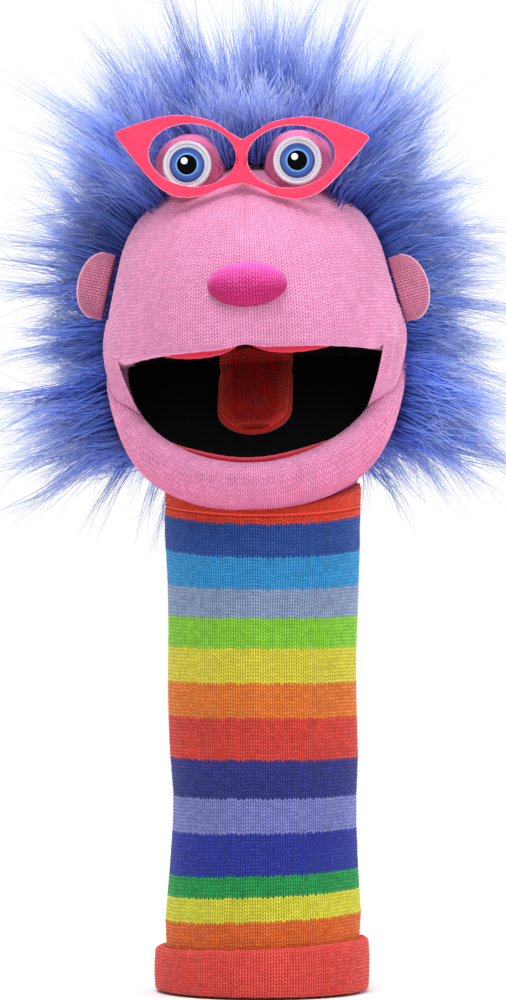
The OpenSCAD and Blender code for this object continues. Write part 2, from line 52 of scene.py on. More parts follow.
# ---- Sizes of the CAD model ----
SLEEVE_R, SLEEVE_H = 37.5, 197.0
FLARE_R, CUFF_H, CUFF_T, GAP = 39.0, 19.5, 3.0, 0.3
HEAD_A, HEAD_FRONT, HEAD_BACK, HEAD_C = 58.0, 62.0, 57.0, 76.0
MOUTH_Z, LIP_Z, CENTRE_Y = 259.0, 260.0, -10.0
JAW_OPEN, BOARD_A, BOARD_B, LIP_W, JAW_C = 43.0, 50.0, 66.0, 8.0, 37.0
FOLD_R, LINING_T, BOARD_T, KNIT_T, FOAM_T = 3.0, 1.0, 2.0, 2.0, 7.0
BACK_GAP = FOLD_R + GAP
# The lengths of sleeve that bend sideways, twist and nod, as heights
BEND, TWIST, FLEX = (43.34, 66.98), (82.74, 112.29), (128.05, 165.48)
HEAD_TURN, HEAD_ROLL = -4, -2


# ---- Frames ----
def turn(axis, degrees):
    a = math.radians(degrees)
    c, s = math.cos(a), math.sin(a)
    m = np.eye(4)
    i, j = [(1, 2), (2, 0), (0, 1)][axis]
    m[i, i] = m[j, j] = c
    m[i, j], m[j, i] = -s, s
    return m


def shift(x, y, z):
    m = np.eye(4)
    m[:3, 3] = (x, y, z)
    return m


HEAD = shift(0, 0, SLEEVE_H) @ turn(2, HEAD_TURN) @ turn(1, HEAD_ROLL) @ shift(0, 0, -SLEEVE_H)
JAW = HEAD @ shift(0, 0, MOUTH_Z) @ turn(0, JAW_OPEN)
UPPER = HEAD @ shift(0, -BACK_GAP, MOUTH_Z)


def put(p, m):
    return p @ m[:3, :3].T + m[:3, 3]


# ---- Shapes shared with the CAD ----
def dome(o, t, f):
    t, f = np.radians(t), np.radians(f)
    depth = np.where(np.sin(f) < 0, HEAD_FRONT, HEAD_BACK)
    return np.stack([
        (HEAD_A + o) * np.sin(t) * np.cos(f),
        CENTRE_Y + (depth + o) * np.sin(t) * np.sin(f),
        LIP_Z + (HEAD_C + o) * np.cos(t) + 0 * f], -1)


def nape(o, s, f):
    k, f = 1 - s * s, np.radians(f)
    return np.stack([
        (SLEEVE_R + o + (HEAD_A - SLEEVE_R) * k) * np.cos(f),
        CENTRE_Y * k + (SLEEVE_R + o + (HEAD_BACK - SLEEVE_R) * k) * np.sin(f),
        MOUTH_Z - s * 62 + 0 * f], -1)


def jaw_bowl(o, s, phi):
    s, phi = np.radians(s), np.radians(phi)
    k, d = np.cos(s), np.sin(s)
    v = BACK_GAP + 16 * d
    return np.stack([
        (BOARD_A + LIP_W + o) * k * np.cos(phi),
        -v - ((BOARD_B + LIP_W + o) * k - (v - BACK_GAP * (1 - k))) * np.sin(phi),
        -FOLD_R - (JAW_C + o) * d + 0 * phi], -1)


# ---- Meshes ----
def srgb(h):
    v = np.array([int(h[i:i + 2], 16) for i in (1, 3, 5)]) / 255
    return np.where(v <= 0.04045, v / 12.92, ((v + 0.055) / 1.055) ** 2.4)


def smooth(x, a, b):
    t = np.clip((x - a) / (b - a), 0, 1)
    return t * t * (3 - 2 * t)


def mesh(name, verts, faces, material, tint=None, smooth_faces=True):
    """An object from points in millimetres and a list of face arrays"""
    me = bpy.data.meshes.new(name)
    loops = np.concatenate([f.ravel() for f in faces]).astype(np.int32)
    sizes = np.concatenate([np.full(len(f), f.shape[1]) for f in faces])
    starts = np.concatenate([[0], np.cumsum(sizes)[:-1]]).astype(np.int32)
    me.vertices.add(len(verts))
    me.vertices.foreach_set("co", (verts * MM).astype(np.float32).ravel())
    me.loops.add(len(loops))
    me.loops.foreach_set("vertex_index", loops)
    me.polygons.add(len(sizes))
    me.polygons.foreach_set("loop_start", starts)
    me.polygons.foreach_set("use_smooth", np.full(len(sizes), smooth_faces))
    me.update(calc_edges=True)
    if tint is not None:
        layer = me.attributes.new("tint", "FLOAT_COLOR", "POINT")
        rgba = np.ones((len(verts), 4), np.float32)
        rgba[:, :3] = tint
        layer.data.foreach_set("color", rgba.ravel())
    me.materials.append(material)
    o = bpy.data.objects.new(name, me)
    bpy.context.scene.collection.objects.link(o)
    return o


def grid_faces(m, n, wrap=False, flip=False, start=0):
    i, j = np.meshgrid(np.arange(m - 1), np.arange(n if wrap else n - 1), indexing="ij")
    k = (j + 1) % n
    q = np.stack([i * n + j, i * n + k, (i + 1) * n + k, (i + 1) * n + j], -1).reshape(-1, 4)
    return start + (q[:, ::-1] if flip else q)


def slab(name, near, far, material, tint=None, wrap=False):
    """A closed solid between two grids of points of one shape"""
    m, n = near.shape[:2]
    off = m * n
    verts = np.concatenate([near.reshape(-1, 3), far.reshape(-1, 3)])
    faces = [grid_faces(m, n, wrap), grid_faces(m, n, wrap, True, off)]
    j = np.arange(n if wrap else n - 1)
    k = (j + 1) % n
    faces.append(np.stack([k, j, off + j, off + k], -1))
    last = (m - 1) * n
    faces.append(np.stack([last + j, last + k, off + last + k, off + last + j], -1))
    if not wrap:
        i = np.arange(m - 1)
        faces.append(np.stack([i * n, (i + 1) * n, off + (i + 1) * n, off + i * n], -1))
        e = i * n + n - 1
        faces.append(np.stack([e + n, e, off + e, off + e + n], -1))
    if tint is not None and len(tint) == off:
        tint = np.concatenate([tint, tint])
    return mesh(name, verts, faces, material, tint)


def end_caps(m, n):
    """The faces that close the first and last rows of a wrapped grid"""
    return [np.arange(n)[::-1][None], ((m - 1) * n + np.arange(n))[None]]


def place(o, body, slot, *nodes):
    if nodes:
        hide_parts(*nodes)
    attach(o, body)
    return o


def even_colour(rgb):
    """The same colour at every point of a grid"""
    return lambda u, v: np.broadcast_to(rgb, (*u.shape, 3))


def normals_of(p, wrap):
    """Unit normals of a grid of points, to the left of its rows"""
    du = np.gradient(p, axis=1)
    if wrap:
        du[:, 0] = (p[:, 1] - p[:, -1]) / 2
        du[:, -1] = (p[:, 0] - p[:, -2]) / 2
    dv = np.gradient(p, axis=0)
    n = np.cross(du, dv)
    return n / np.maximum(np.linalg.norm(n, axis=-1, keepdims=True), 1e-9)


PER = 4  # grid rows and columns to a stitch
MEAN_GROOVE = 0.49  # how far the average point of a stitch lies below its top
# Height of a stitch at its four rows: between wales, along a leg, and down the middle of the V
STITCH = np.array([[0.3, 0.35, 0.2, 0.15], [0.42, 0.9, 1.0, 0.85], [0.05, 0.5, 0.35, 0.0]])


def knit(surface, wales, courses, yarn, wrap=False, relief=0.7, slant=0.75, dark=0.78, even=0.06, mean=0.68):
    """Stocking stitch on a surface: every stitch is a V of two raised legs.
    surface takes (wale, course) and gives points; yarn gives a colour for them"""
    m, n = PER * courses + 1, PER * wales + (0 if wrap else 1)
    j, i = np.meshgrid(np.arange(m), np.arange(n), indexing="ij")
    u = i / PER
    s = np.abs(2 * (u % 1) - 1)
    ramp = np.clip(np.minimum(j, m - 1 - j) / 6, 0, 1)
    one = rng.uniform(-1, 1, (courses + 1, wales + 1))
    two = rng.uniform(-1, 1, (courses + 1, wales + 1))
    slip = rng.uniform(-0.28, 0.28, wales + 1)
    pick = (np.minimum(j // PER, courses), np.minimum(i // PER, wales))
    v = j / PER + ramp * (slant * (s - 0.5) + slip[pick[1]] * (s < 1))
    base = surface(u + 0 * v, v)
    normal = normals_of(base, wrap)
    part = np.where(s == 1, 0, np.where(s == 0, 2, 1))
    high = STITCH[part, j % PER] * (1 + 0.12 * one[pick]) * np.clip(ramp, 0.15, 1)
    p = base + normal * (relief * (high - 0.35))[..., None]
    # Painted shade: the colour is darkened, and its saturation deepened, where the stitch lies low, in the
    # grooves between the legs and down the middle of each V. The flatter rows near a piece's ends are painted
    # darker too; dark sets how much.
    shade = 1 - dark * (1 - np.clip(high, 0, 1.1))
    colour = np.minimum(yarn(u, j / PER) * mean / (1 - MEAN_GROOVE * dark), 0.96)
    shade_deepen = 1.45 - 0.6 * np.clip(high, 0, 1)
    colour = colour ** shade_deepen[..., None] * (shade * (1 + even * two[pick]))[..., None]
    return p, colour.reshape(-1, 3)


def skin(name, grid, colour, material, wrap=False, back=None):
    """A mesh of one knitted grid; back is a coarse inner grid that closes a tube"""
    m, n = grid.shape[:2]
    verts, faces = grid.reshape(-1, 3), [grid_faces(m, n, wrap)]
    if back is not None:
        off, b = m * n, len(back)
        verts = np.concatenate([verts, back.reshape(-1, 3)])
        faces.append(grid_faces(b, n, wrap, True, off))
        j = np.arange(n if wrap else n - 1)
        k = (j + 1) % n
        faces.append(np.stack([k, j, off + j, off + k], -1))
        last, end = (m - 1) * n, off + (b - 1) * n
        faces.append(np.stack([last + j, last + k, end + k, end + j], -1))
        rows = np.linspace(0, m - 1, b).astype(int)
        # Painted shade: the inner face is painted a fifth darker than the knit outside.
        colour = np.concatenate([colour, 0.8 * colour.reshape(m, n, 3)[rows].reshape(-1, 3)])
    return mesh(name, verts, faces, material, colour)


# ---- Materials ----
def material(name, rough, sheen=0.0, fibre=900.0, bump=0.35, mottle=0.12, spec=0.3, colour=None,
             speck=60.0, stretch=(1, 1, 1)):
    """Cloth, felt or fur: the tint painted on the mesh, or one colour, broken up by fibres"""
    m = bpy.data.materials.new(name)
    m.use_nodes = True
    nodes, link = m.node_tree.nodes, m.node_tree.links.new
    nodes.clear()

    def node(kind, **values):
        """A shader node with its inputs set; an underscore stands for a space"""
        made = nodes.new("ShaderNode" + kind)
        for key, value in values.items():
            made.inputs[key.replace("_", " ")].default_value = value
        return made

    bsdf = node("BsdfPrincipled", Specular_IOR_Level=spec, Sheen_Weight=sheen, Sheen_Roughness=0.5)
    out, where, scale = node("OutputMaterial"), node("TexCoord"), node("Mapping", Scale=stretch)
    link(bsdf.outputs[0], out.inputs[0])
    link(where.outputs["Object"], scale.inputs["Vector"])
    fine = node("TexNoise", Scale=fibre, Detail=3, Roughness=0.65)
    link(scale.outputs[0], fine.inputs["Vector"])
    broad = node("TexNoise", Scale=speck, Detail=2)
    link(where.outputs["Object"], broad.inputs["Vector"])
    both, mix = node("Math"), node("VectorMath")
    both.operation, mix.operation = "ADD", "SCALE"
    link(fine.outputs["Fac"], both.inputs[0])
    link(broad.outputs["Fac"], both.inputs[1])
    value = node("MapRange", From_Min=0.6, From_Max=1.4, To_Min=1 - mottle, To_Max=1 + mottle)
    link(both.outputs[0], value.inputs["Value"])
    if colour is None:
        tint = node("Attribute")
        tint.attribute_name = "tint"
        link(tint.outputs["Color"], mix.inputs[0])
    else:
        mix.inputs[0].default_value = srgb(colour)
    link(value.outputs["Result"], mix.inputs["Scale"])
    link(mix.outputs[0], bsdf.inputs["Base Color"])
    gloss = node("MapRange", To_Min=max(rough - 0.12, 0), To_Max=min(rough + 0.08, 1))
    link(fine.outputs["Fac"], gloss.inputs["Value"])
    link(gloss.outputs["Result"], bsdf.inputs["Roughness"])
    if bump:
        relief = node("Bump", Strength=bump, Distance=0.0002)
        link(fine.outputs["Fac"], relief.inputs["Height"])
        link(relief.outputs[0], bsdf.inputs["Normal"])
    return m


YARN = material("yarn", 0.85, sheen=0.1, fibre=1500, bump=0.4, mottle=0.10)
YARN_DARK = material("yarn_dark", 0.8, sheen=0.05, fibre=1500, bump=0.4, mottle=0.15)
FUR = material("fur", 0.5, sheen=0.1, fibre=500, bump=0.0, mottle=0.12, spec=0.45, speck=40)
FELT = material("felt", 0.95, sheen=0.3, fibre=1300, bump=0.5, mottle=0.12, spec=0.15)
FELT_DARK = material("felt_dark", 0.98, sheen=0.0, fibre=1300, bump=0.5, mottle=0.3, spec=0.06)
SATIN = material("satin_thread", 0.42, sheen=0.1, fibre=2200, bump=0.3, mottle=0.1, spec=0.5)
FOAM = material("foam_cells", 0.9, fibre=700, bump=0.8, mottle=0.08, colour="#f1ead8")
CARD = material("mouth_card", 0.8, fibre=500, bump=0.25, mottle=0.14, colour="#b39c76",
                stretch=(1, 6, 1))
CLOTH = material("lining_cloth", 0.9, sheen=0.15, fibre=1500, bump=0.5, mottle=0.16, colour="#2b2b31")
for n in ("upper_mouth_board", "lower_mouth_board"):
    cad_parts[n].data.materials.clear()
    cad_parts[n].data.materials.append(CARD)

# ---- Sleeve ----
# Where each stripe starts, as a share of the sleeve, and its colour
STRIPES = [
    (0.000, "#ec6f2c"), (0.154, "#e0dc3c"), (0.204, "#1fa050"), (0.250, "#2a38a4"),
    (0.331, "#8388cf"), (0.406, "#33378c"), (0.482, "#e0453a"), (0.566, "#f5812f"),
    (0.637, "#e6da41"), (0.711, "#8fd83a"), (0.772, "#94a9cc"), (0.834, "#36a0e0"),
    (0.908, "#2b56ab"), (0.980, "#f0492c")]
stripe_at = np.array([s[0] for s in STRIPES]) * SLEEVE_H
stripe_rgb = np.array([srgb(s[1]) for s in STRIPES])
# Rows up and stitches round the sleeve. These were chosen; the photograph measures nearer 105 and 92
COURSES, WALES = 141, 118
COURSE_H = SLEEVE_H / COURSES


def stripe(u, v):
    z = np.floor(v + 0.01) * COURSE_H
    return stripe_rgb[np.clip(np.searchsorted(stripe_at, z + 0.5 * COURSE_H) - 1, 0, len(STRIPES) - 1)]


# Heights up the sleeve and its radius at each
SHAPE_Z = [0, 18, 30, 50, 68, 80, 96, 144, 169, 181, 203]
SHAPE_R = [38.6, 38.6, 39.3, 37.9, 36.9, 36.7, 37.5, 37.9, 38.4, 38.9, 39.4]


def front_sag(a, z):
    """The jaw's weight and the wearer's arm draw the front of the sleeve down"""
    return 3.6 * smooth(z, 138, 196) * np.clip(-np.sin(a), 0, 1) ** 1.5


def sleeve_point(a, z, o=0.0):
    """A point of the sleeve's cloth: a is the angle round it from +X, in radians"""
    r = np.interp(z, SHAPE_Z, SHAPE_R)
    free = smooth(z, 24, 44) * (1 - smooth(z, 186, 197))
    x, front = np.cos(a) * r, -np.sin(a)
    crease = np.exp(-((x - 6) / 6) ** 2) * (front > 0) * smooth(z, 84, 110) * (1 - smooth(z, 150, 178))
    r = r + free * (0.3 * np.sin(3 * a + 0.6 + z / 60) + 0.25 * np.sin(5 * a + z / 31)) - 1.6 * crease
    r = r + free * 0.35 * np.sin(z / 13 + 1.2 * np.cos(a)) + o
    lift = 0.045 * x * (1 - smooth(z, 30, 95)) * smooth(z, 0, 12)
    return np.stack([r * np.cos(a) + 0.4, r * np.sin(a), z - front_sag(a, z) + lift], -1)


def sleeve_surface(u, v):
    return sleeve_point(2 * pi * u / WALES, v * COURSE_H)


sleeve_grid, sleeve_tint = knit(sleeve_surface, WALES, COURSES, stripe, wrap=True)
sleeve_tint = sleeve_tint.reshape(*sleeve_grid.shape)


def sleeve_piece(name, z0, z1, node):
    """One length of the sleeve, with its smoother inner face"""
    r0, r1 = (int(round(z / COURSE_H * PER)) for z in (z0, z1))
    grid, tint = sleeve_grid[r0:r1 + 1], sleeve_tint[r0:r1 + 1]
    rows = max(3, int((z1 - z0) / 5))
    a = 2 * pi * np.arange(grid.shape[1]) / PER / WALES
    z = np.linspace(r0, r1, rows)[:, None] * COURSE_H / PER + 0 * a
    inner = sleeve_point(a + 0 * z, z, -KNIT_T - 0.2)
    o = skin(name, grid, tint.reshape(-1, 3), YARN, True, inner)
    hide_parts(*node)
    return o


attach(sleeve_piece("sleeve_lower_knit", 0, BEND[0], ["sleeve_lower"]), "sleeve")
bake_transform(sleeve_piece("sleeve_bend_knit", *BEND, ["sleeve_bend"]))
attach(sleeve_piece("sleeve_middle_knit", BEND[1], TWIST[0], ["sleeve_middle"]), "sleeve_mid")
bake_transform(sleeve_piece("sleeve_twist_knit", *TWIST, ["sleeve_twist"]))
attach(sleeve_piece("sleeve_wrist_knit", TWIST[1], FLEX[0], ["sleeve_wrist"]), "wrist")
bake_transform(sleeve_piece("sleeve_flex_knit", *FLEX, ["sleeve_flex"]))
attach(sleeve_piece("sleeve_top_knit", FLEX[1], SLEEVE_H, ["sleeve_top"]), "head")


COLLAR_C, COLLAR_Z = 7, 196


def collar_surface(u, v):
    """The sleeve's last rows, drawn up under the head's edge; lowest in front, behind the chin"""
    a = 2 * pi * u / WALES
    front = np.clip(-np.sin(a), 0, 1) ** 2
    return sleeve_point(a, COLLAR_Z + (9.5 - 6 * front) * v / COLLAR_C)


grid, tint = knit(collar_surface, WALES, COLLAR_C, even_colour(stripe_rgb[-1]), wrap=True)
a = 2 * pi * np.arange(grid.shape[1]) / PER / WALES
inner = np.stack([grid[0], grid[-1]]) - 1.4 * np.stack([np.cos(a), np.sin(a), 0 * a], -1)
place(skin("sleeve_collar_knit", grid, tint, YARN, True, inner), "head", "knit_stripes")


def round_box(width, height, r, steps=12):
    """A rounded rectangle as (out, up) points from its lower inner corner, evenly spaced"""
    pts = []
    for cx, cy, start in ((width - r, r, -90), (width - r, height - r, 0), (r, height - r, 90), (r, r, 180)):
        for k in range(steps + 1):
            q = math.radians(start + 90 * k / steps)
            pts.append((cx + r * math.cos(q), cy + r * math.sin(q)))
    pts = np.array(pts + [pts[0]])
    far = np.concatenate([[0], np.cumsum(np.linalg.norm(np.diff(pts, axis=0), axis=1))])
    return pts, far / far[-1]


CUFF_PTS, CUFF_FAR = round_box(CUFF_T + 0.6, CUFF_H - 0.2, 1.7)


def cuff_surface(u, v, wales, courses):
    """The turned-up cuff: a flattened ring, round at both edges"""
    a, q = 2 * pi * u / wales, (v / courses) % 1
    out = np.interp(q, CUFF_FAR, CUFF_PTS[:, 0])
    z = np.interp(q, CUFF_FAR, CUFF_PTS[:, 1]) + 0.1
    bulge = (0.3 * np.sin(3 * a), 0.5 * np.sin(z / CUFF_H * pi))
    r = FLARE_R + GAP - 0.1 + out + bulge[0] * (out > 1.8) + bulge[1] * (out > 1.8)
    x = r * np.cos(a)
    return np.stack([x, r * np.sin(a), z + 0.045 * x * smooth(z, 2, 12) + 0.3], -1)


CUFF_W, CUFF_C = 120, 32
grid, tint = knit(lambda u, v: cuff_surface(u, v, CUFF_W, CUFF_C), CUFF_W, CUFF_C,
                  even_colour(srgb("#ee4f48")), wrap=True, relief=0.6)
cuff = skin("cuff_knit", grid, tint, YARN, True)
place(cuff, "sleeve", "knit_cuff", "cuff_band")

# ---- Head cover ----
PINK = srgb("#f99cc6")
# Painted shade: a darker pink for the low, shaded parts: the chin, the cheek gussets, the throat and the inside
# of the neck.
PINK_SHADE = srgb("#d05c8c")
pink = even_colour(PINK)


def rim_tilt(x):
    """The upper lip hangs a little lower at the puppet's right; x is a share of the half width"""
    return 1.6 * x + 0.4 + 1.6 * np.exp(-(x / 0.1) ** 2)


def head_point(t, f, o=0.0):
    """The head's cloth; beyond t 90 it rolls under into the mouth"""
    under = np.clip(t - 90, 0, None)
    tt = np.minimum(t, 90)
    roll = np.radians(under)
    edge = 1.6 + 3.2 * np.abs(np.cos(np.radians(f))) ** 3
    p = dome(o - edge * (1 - np.cos(roll)), tt, f)
    p[..., 2] -= edge * np.sin(roll)
    x = p[..., 0] / HEAD_A
    p[..., 2] += rim_tilt(x) * smooth(t, 55, 88)
    p[..., 0] += 1.6 * np.sign(x) * smooth(np.abs(x), 0.8, 1.0) * smooth(t, 60, 86)
    p[..., 0] += 3.2 * np.sign(x) * smooth(np.abs(x), 0.3, 0.75) * np.exp(-((t - 50) / 19) ** 2)
    lump = np.sin(p[..., 0] / 17 + 1) * np.sin(p[..., 2] / 14) * 0.5
    dart = np.exp(-(p[..., 0] / 1.1) ** 2) * smooth(t, 34, 40) * (1 - smooth(t, 47, 60)) * 0.9
    out = p - np.array([0, CENTRE_Y, LIP_Z])
    out = out / np.linalg.norm(out, axis=-1, keepdims=True)
    return p + out * (lump - dart)[..., None]


# Stitches and rows of the head, its last rows under the lip, and the angles where it starts and ends
HEAD_W, HEAD_N, HEAD_UNDER = 90, 68, 6
F0, F1 = -192.0, 12.0


def head_surface(u, v):
    t = 20 + 70 * v / (HEAD_N - HEAD_UNDER)
    t = np.where(v > HEAD_N - HEAD_UNDER, 90 + (v - HEAD_N + HEAD_UNDER) * 28, t)
    return head_point(t, F0 + (F1 - F0) * u / HEAD_W)


grid, tint = knit(head_surface, HEAD_W, HEAD_N, pink, relief=-0.75, dark=0.5, mean=0.86)
head_cover = skin("head_knit", put(grid, HEAD), tint, YARN)
place(head_cover, "head", "knit_pink", "head_cover")


def plain(surface, m, n, colour, wrap=False, grain=0.05):
    """A coarse grid with its colour broken up a little; surface takes 0..1 and 0..1"""
    j, i = np.meshgrid(np.linspace(0, 1, m), np.arange(n) / (n if wrap else n - 1), indexing="ij")
    p = surface(i, j)
    c = colour * (1 + rng.uniform(-grain, grain, (m, n, 1)))
    return p, c.reshape(-1, 3)


def plain_slab(name, near, far, m, n, colour, mat, frame_m, wrap=False):
    a, c = plain(near, m, n, colour, wrap)
    b, _ = plain(far, m, n, colour, wrap)
    return slab(name, put(a, frame_m), put(b, frame_m), mat, c, wrap)


def shell(name, shape, offsets, rows, turns, m, n, colour, mat, frame_m, wrap=False):
    """A layer of dome or jaw_bowl between two offsets; rows and turns are (start, span) in degrees"""
    near, far = (lambda u, v, o=o: shape(o, rows[0] + rows[1] * v, turns[0] + turns[1] * u) for o in offsets)
    return plain_slab(name, near, far, m, n, colour, mat, frame_m, wrap)


FOAM_WHITE = srgb("#f1ead8")
back_cover = shell("head_back_knit", dome, (-0.2, -1.8), (10, 80), (8, 164), 40, 80, PINK, YARN, HEAD)
place(back_cover, "head", "knit_pink")
backing = shell("fur_backing_knit", dome, (2.0, 0.9), (9, 80), (19, 142), 50, 100, srgb("#3447a8"), YARN, HEAD)
place(backing, "head", "fur_backing", "hair_backing")
head_foam = shell("head_foam_pad", dome, (-KNIT_T - GAP, -KNIT_T - FOAM_T), (7, 81), (0, 360), 30, 90,
                  FOAM_WHITE, FOAM, HEAD, True)
place(head_foam, "head", "foam", "head_foam")

# ---- Nape, jaw and the cloth between ----
NAPE_W, NAPE_C = 84, 46


def nape_surface(u, v):
    s = v / NAPE_C
    tuck = 1 - smooth(np.minimum(u, NAPE_W - u) / NAPE_W, 0, 0.07)
    return nape(0.2 - 1.9 * tuck, s, 20 + 140 * (1 - u / NAPE_W))


grid, tint = knit(nape_surface, NAPE_W, NAPE_C, pink, relief=0.5, dark=0.5, mean=0.86)
nape_cover = skin("nape_knit", put(grid, HEAD), tint, YARN)
place(nape_cover, "head", "knit_pink", "nape_cover")

# Stitches and rows of the jaw, and its first rows, which go over the lip
JAW_W, JAW_N, ROLL_C = 104, 52, 12


def lip_profile(v, phi):
    """The jaw's section: over the stuffed lip and down the bowl, in the jaw's frame"""
    f = np.radians(phi)
    r = 4.2 + 1.3 * np.sin(f)
    a = pi - (v / ROLL_C) * pi * 1.06
    s = 9 + (np.clip(v - ROLL_C, 0, None)) * (66 - 9) / (JAW_N - ROLL_C)
    full = smooth(np.sin(f), 0.15, 0.75) * (1 - smooth(s, 20, 60))
    bowl = jaw_bowl(0.2 + 3.4 * full + 2.2 * np.abs(np.cos(f)) * (1 - smooth(s, 25, 60)), s, phi)
    bowl[..., 2] -= 1.6 * full
    reach, depth = BOARD_A + 2.2 + GAP + r, BOARD_B - BACK_GAP + GAP + r
    roll = np.stack([
        (reach + r * np.cos(a)) * np.cos(f),
        -BACK_GAP - (depth + r * np.cos(a)) * np.sin(f),
        -FOLD_R + 0.2 + r * np.sin(a)], -1)
    w = smooth(v, ROLL_C * 0.72, ROLL_C * 1.25)[..., None]
    return roll * (1 - w) + bowl * w


def jaw_surface(u, v):
    return lip_profile(v, 180 * (1 - u / JAW_W))


def jaw_colour(u, v):
    # Painted shade: the jaw is painted darker from below the lip down to the chin.
    w = smooth(v, 4, 26)[..., None]
    return PINK * (1 - w) + PINK_SHADE * w


grid, tint = knit(jaw_surface, JAW_W, JAW_N, jaw_colour, relief=-0.75, dark=0.55, mean=0.84)
jaw_cover = skin("jaw_knit", put(grid, JAW), tint, YARN)
place(jaw_cover, "jaw", "knit_pink", "jaw_cover", "lip_roll")
jaw_foam = shell("jaw_foam_pad", jaw_bowl, (-KNIT_T - GAP - 5, -KNIT_T - GAP), (14, 48), (0, 180), 14, 60,
                 FOAM_WHITE, FOAM, JAW)
place(jaw_foam, "jaw", "foam", "jaw_foam")


def bridge(name, a, b, m, colour, mat, thick=1.2):
    """A thin closed sheet from one row of points to another"""
    t = np.linspace(0, 1, m)[:, None, None]
    near = a[None] * (1 - t) + b[None] * t
    normal = normals_of(near, False)
    count = near.shape[0] * near.shape[1]
    c = np.broadcast_to(colour, (count, 3)) * (1 + rng.uniform(-0.05, 0.05, (count, 1)))
    return slab(name, near, near - normal * thick, mat, c)


for side, label in SIDES:
    s = np.linspace(0, 1, 40)
    f = 24.0 if side > 0 else 156.0
    edge = put(nape(-1.2, s, f + 0 * s), HEAD)
    jaw_edge = put(jaw_bowl(-1.6, 6 + 60 * s, (6.0 if side > 0 else 174.0) + 0 * s), JAW)
    # Painted shade: the gusset is painted the darker shade pink.
    gusset = bridge("cheek_%s" % label, edge, jaw_edge, 14, PINK_SHADE, YARN)
    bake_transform(gusset)
CHEEK_W, CHEEK_N = 22, 22
for side, label in SIDES:
    def cheek_surface(u, v):
        k, q = u / CHEEK_W, v / CHEEK_N
        front = np.clip(1 - k / 0.35, 0, 1)
        f, phi = -25 + 43 * k, 32 * (1 - k) + 1
        f, phi = (f, phi) if side > 0 else (180 - f, 180 - phi)
        top = put(head_point(78 + 26 * front ** 1.5, f, 0.1), HEAD)
        low = put(lip_profile(ROLL_C * (0.7 - 0.5 * front), phi), JAW)
        low[..., 0] -= side * 1.3 * (1 - front)
        p = top + (low - top) * q[..., None]
        p[..., 0] += side * (3.2 - 2.2 * front) * np.sin(pi * q) ** 0.8
        return p

    grid, tint = knit(cheek_surface, CHEEK_W, CHEEK_N, pink, relief=-0.75 * side, dark=0.5, mean=0.85)
    corner = skin("cheek_fold_%s" % label, grid, tint, YARN)
    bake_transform(corner)
f = np.linspace(-26, 206, 110)
ring = sleeve_point(np.radians(-f), 196.8 + 0 * f, -1.4)
past = np.clip(np.maximum(6 - f, f - 174) / 30, 0, 1)
under = put(jaw_bowl(-1.4, 50 + 16 * past, np.clip(f, 6, 174)), JAW)
# Painted shade: the throat under the jaw is painted the darker shade pink.
throat = bridge("throat", ring, under, 14, PINK_SHADE, YARN)
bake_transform(throat)


def liner(r):
    def shape(u, v):
        a = 2 * pi * u
        return np.stack([r * np.cos(a), r * np.sin(a), 196 + 24 * v + 0 * a], -1)
    return shape


# Painted shade: the liner inside the neck is painted the darker shade pink.
neck_liner = plain_slab("neck_liner_knit", liner(34.9), liner(33.7), 12, 90, PINK_SHADE, YARN, HEAD, True)
place(neck_liner, "head", "knit_pink")


CORD_SIDES, CORD_STEPS = 8, 6


def cord_ring(name, centre, out_of, radius, stitches, colour, mat, frame_m):
    """A closed cord of slanted stitches along a loop; centre and out_of take angles"""
    a = np.linspace(0, 2 * pi, stitches * CORD_STEPS, endpoint=False)
    c, out, up = centre(a), out_of(a), np.array([0.0, 0, 1])
    q = np.arange(CORD_SIDES) / CORD_SIDES * 2 * pi
    phase = a[:, None] * stitches + 1.8 * q[None]
    ridge = np.abs(np.sin(phase / 2))
    r = radius * (0.82 + 0.26 * ridge)
    p = c[:, None] + r[..., None] * (
        np.cos(q)[None, :, None] * out[:, None] + np.sin(q)[None, :, None] * up)
    # Painted shade: the cord is painted darker in the grooves between its slanted stitches.
    tint = (colour * (0.7 + 0.35 * ridge)[..., None]).reshape(-1, 3)
    m, n = len(a), CORD_SIDES
    i, j = np.meshgrid(np.arange(m), np.arange(n), indexing="ij")
    i2, j2 = (i + 1) % m, (j + 1) % n
    quads = np.stack([i * n + j, i2 * n + j, i2 * n + j2, i * n + j2], -1).reshape(-1, 4)
    return mesh(name, put(p, frame_m).reshape(-1, 3), [quads], mat, tint)


def oval(rx, ry, z, x=0.0, out_x=1.0, out_y=1.0):
    """The centre line and outward directions of an oval in XY, for cord_ring"""
    def centre(a):
        return np.stack([x + rx * np.cos(a), ry * np.sin(a), z + 0 * a], -1)

    def out(a):
        way = np.stack([out_x * np.cos(a), out_y * np.sin(a), 0 * a], -1)
        return way / np.linalg.norm(way, axis=-1, keepdims=True)
    return centre, out


seam = cord_ring("neck_seam_cord", lambda a: sleeve_point(a, 196.6 + 0 * a, -0.1), oval(1, 1, 0)[1],
                 0.55, 118, srgb("#ee452c"), YARN, np.eye(4))
place(seam, "head", "knit_cuff", "neck_seam")

# ---- Mouth ----
BLACK = srgb("#0d0d0f")


def plate(name, a, b, z, t, frame_m, colour, mat, rough=0.18, m=26, n=90):
    """A half-ellipse of felt, a little uneven"""
    bumps = rng.normal(0, 1, (m, n))
    k = np.array([0.25, 0.5, 0.25])
    for axis in (0, 1):
        bumps = np.apply_along_axis(lambda r: np.convolve(r, k, "same"), axis, bumps)
    def side(top):
        def shape(u, v):
            f = pi * u
            w = z + (t if top else 0) + (rough * bumps if top else 0) * (v < 0.97)
            back = 1.5 * (1 - np.sin(f))
            return np.stack([a * v * np.cos(f), back - b * v * np.sin(f), w + 0 * f], -1)
        return shape
    return plain_slab(name, side(False), side(True), m, n, colour, mat, frame_m)


def half_area(a, b):
    return pi * a * b / 2 * MM * MM


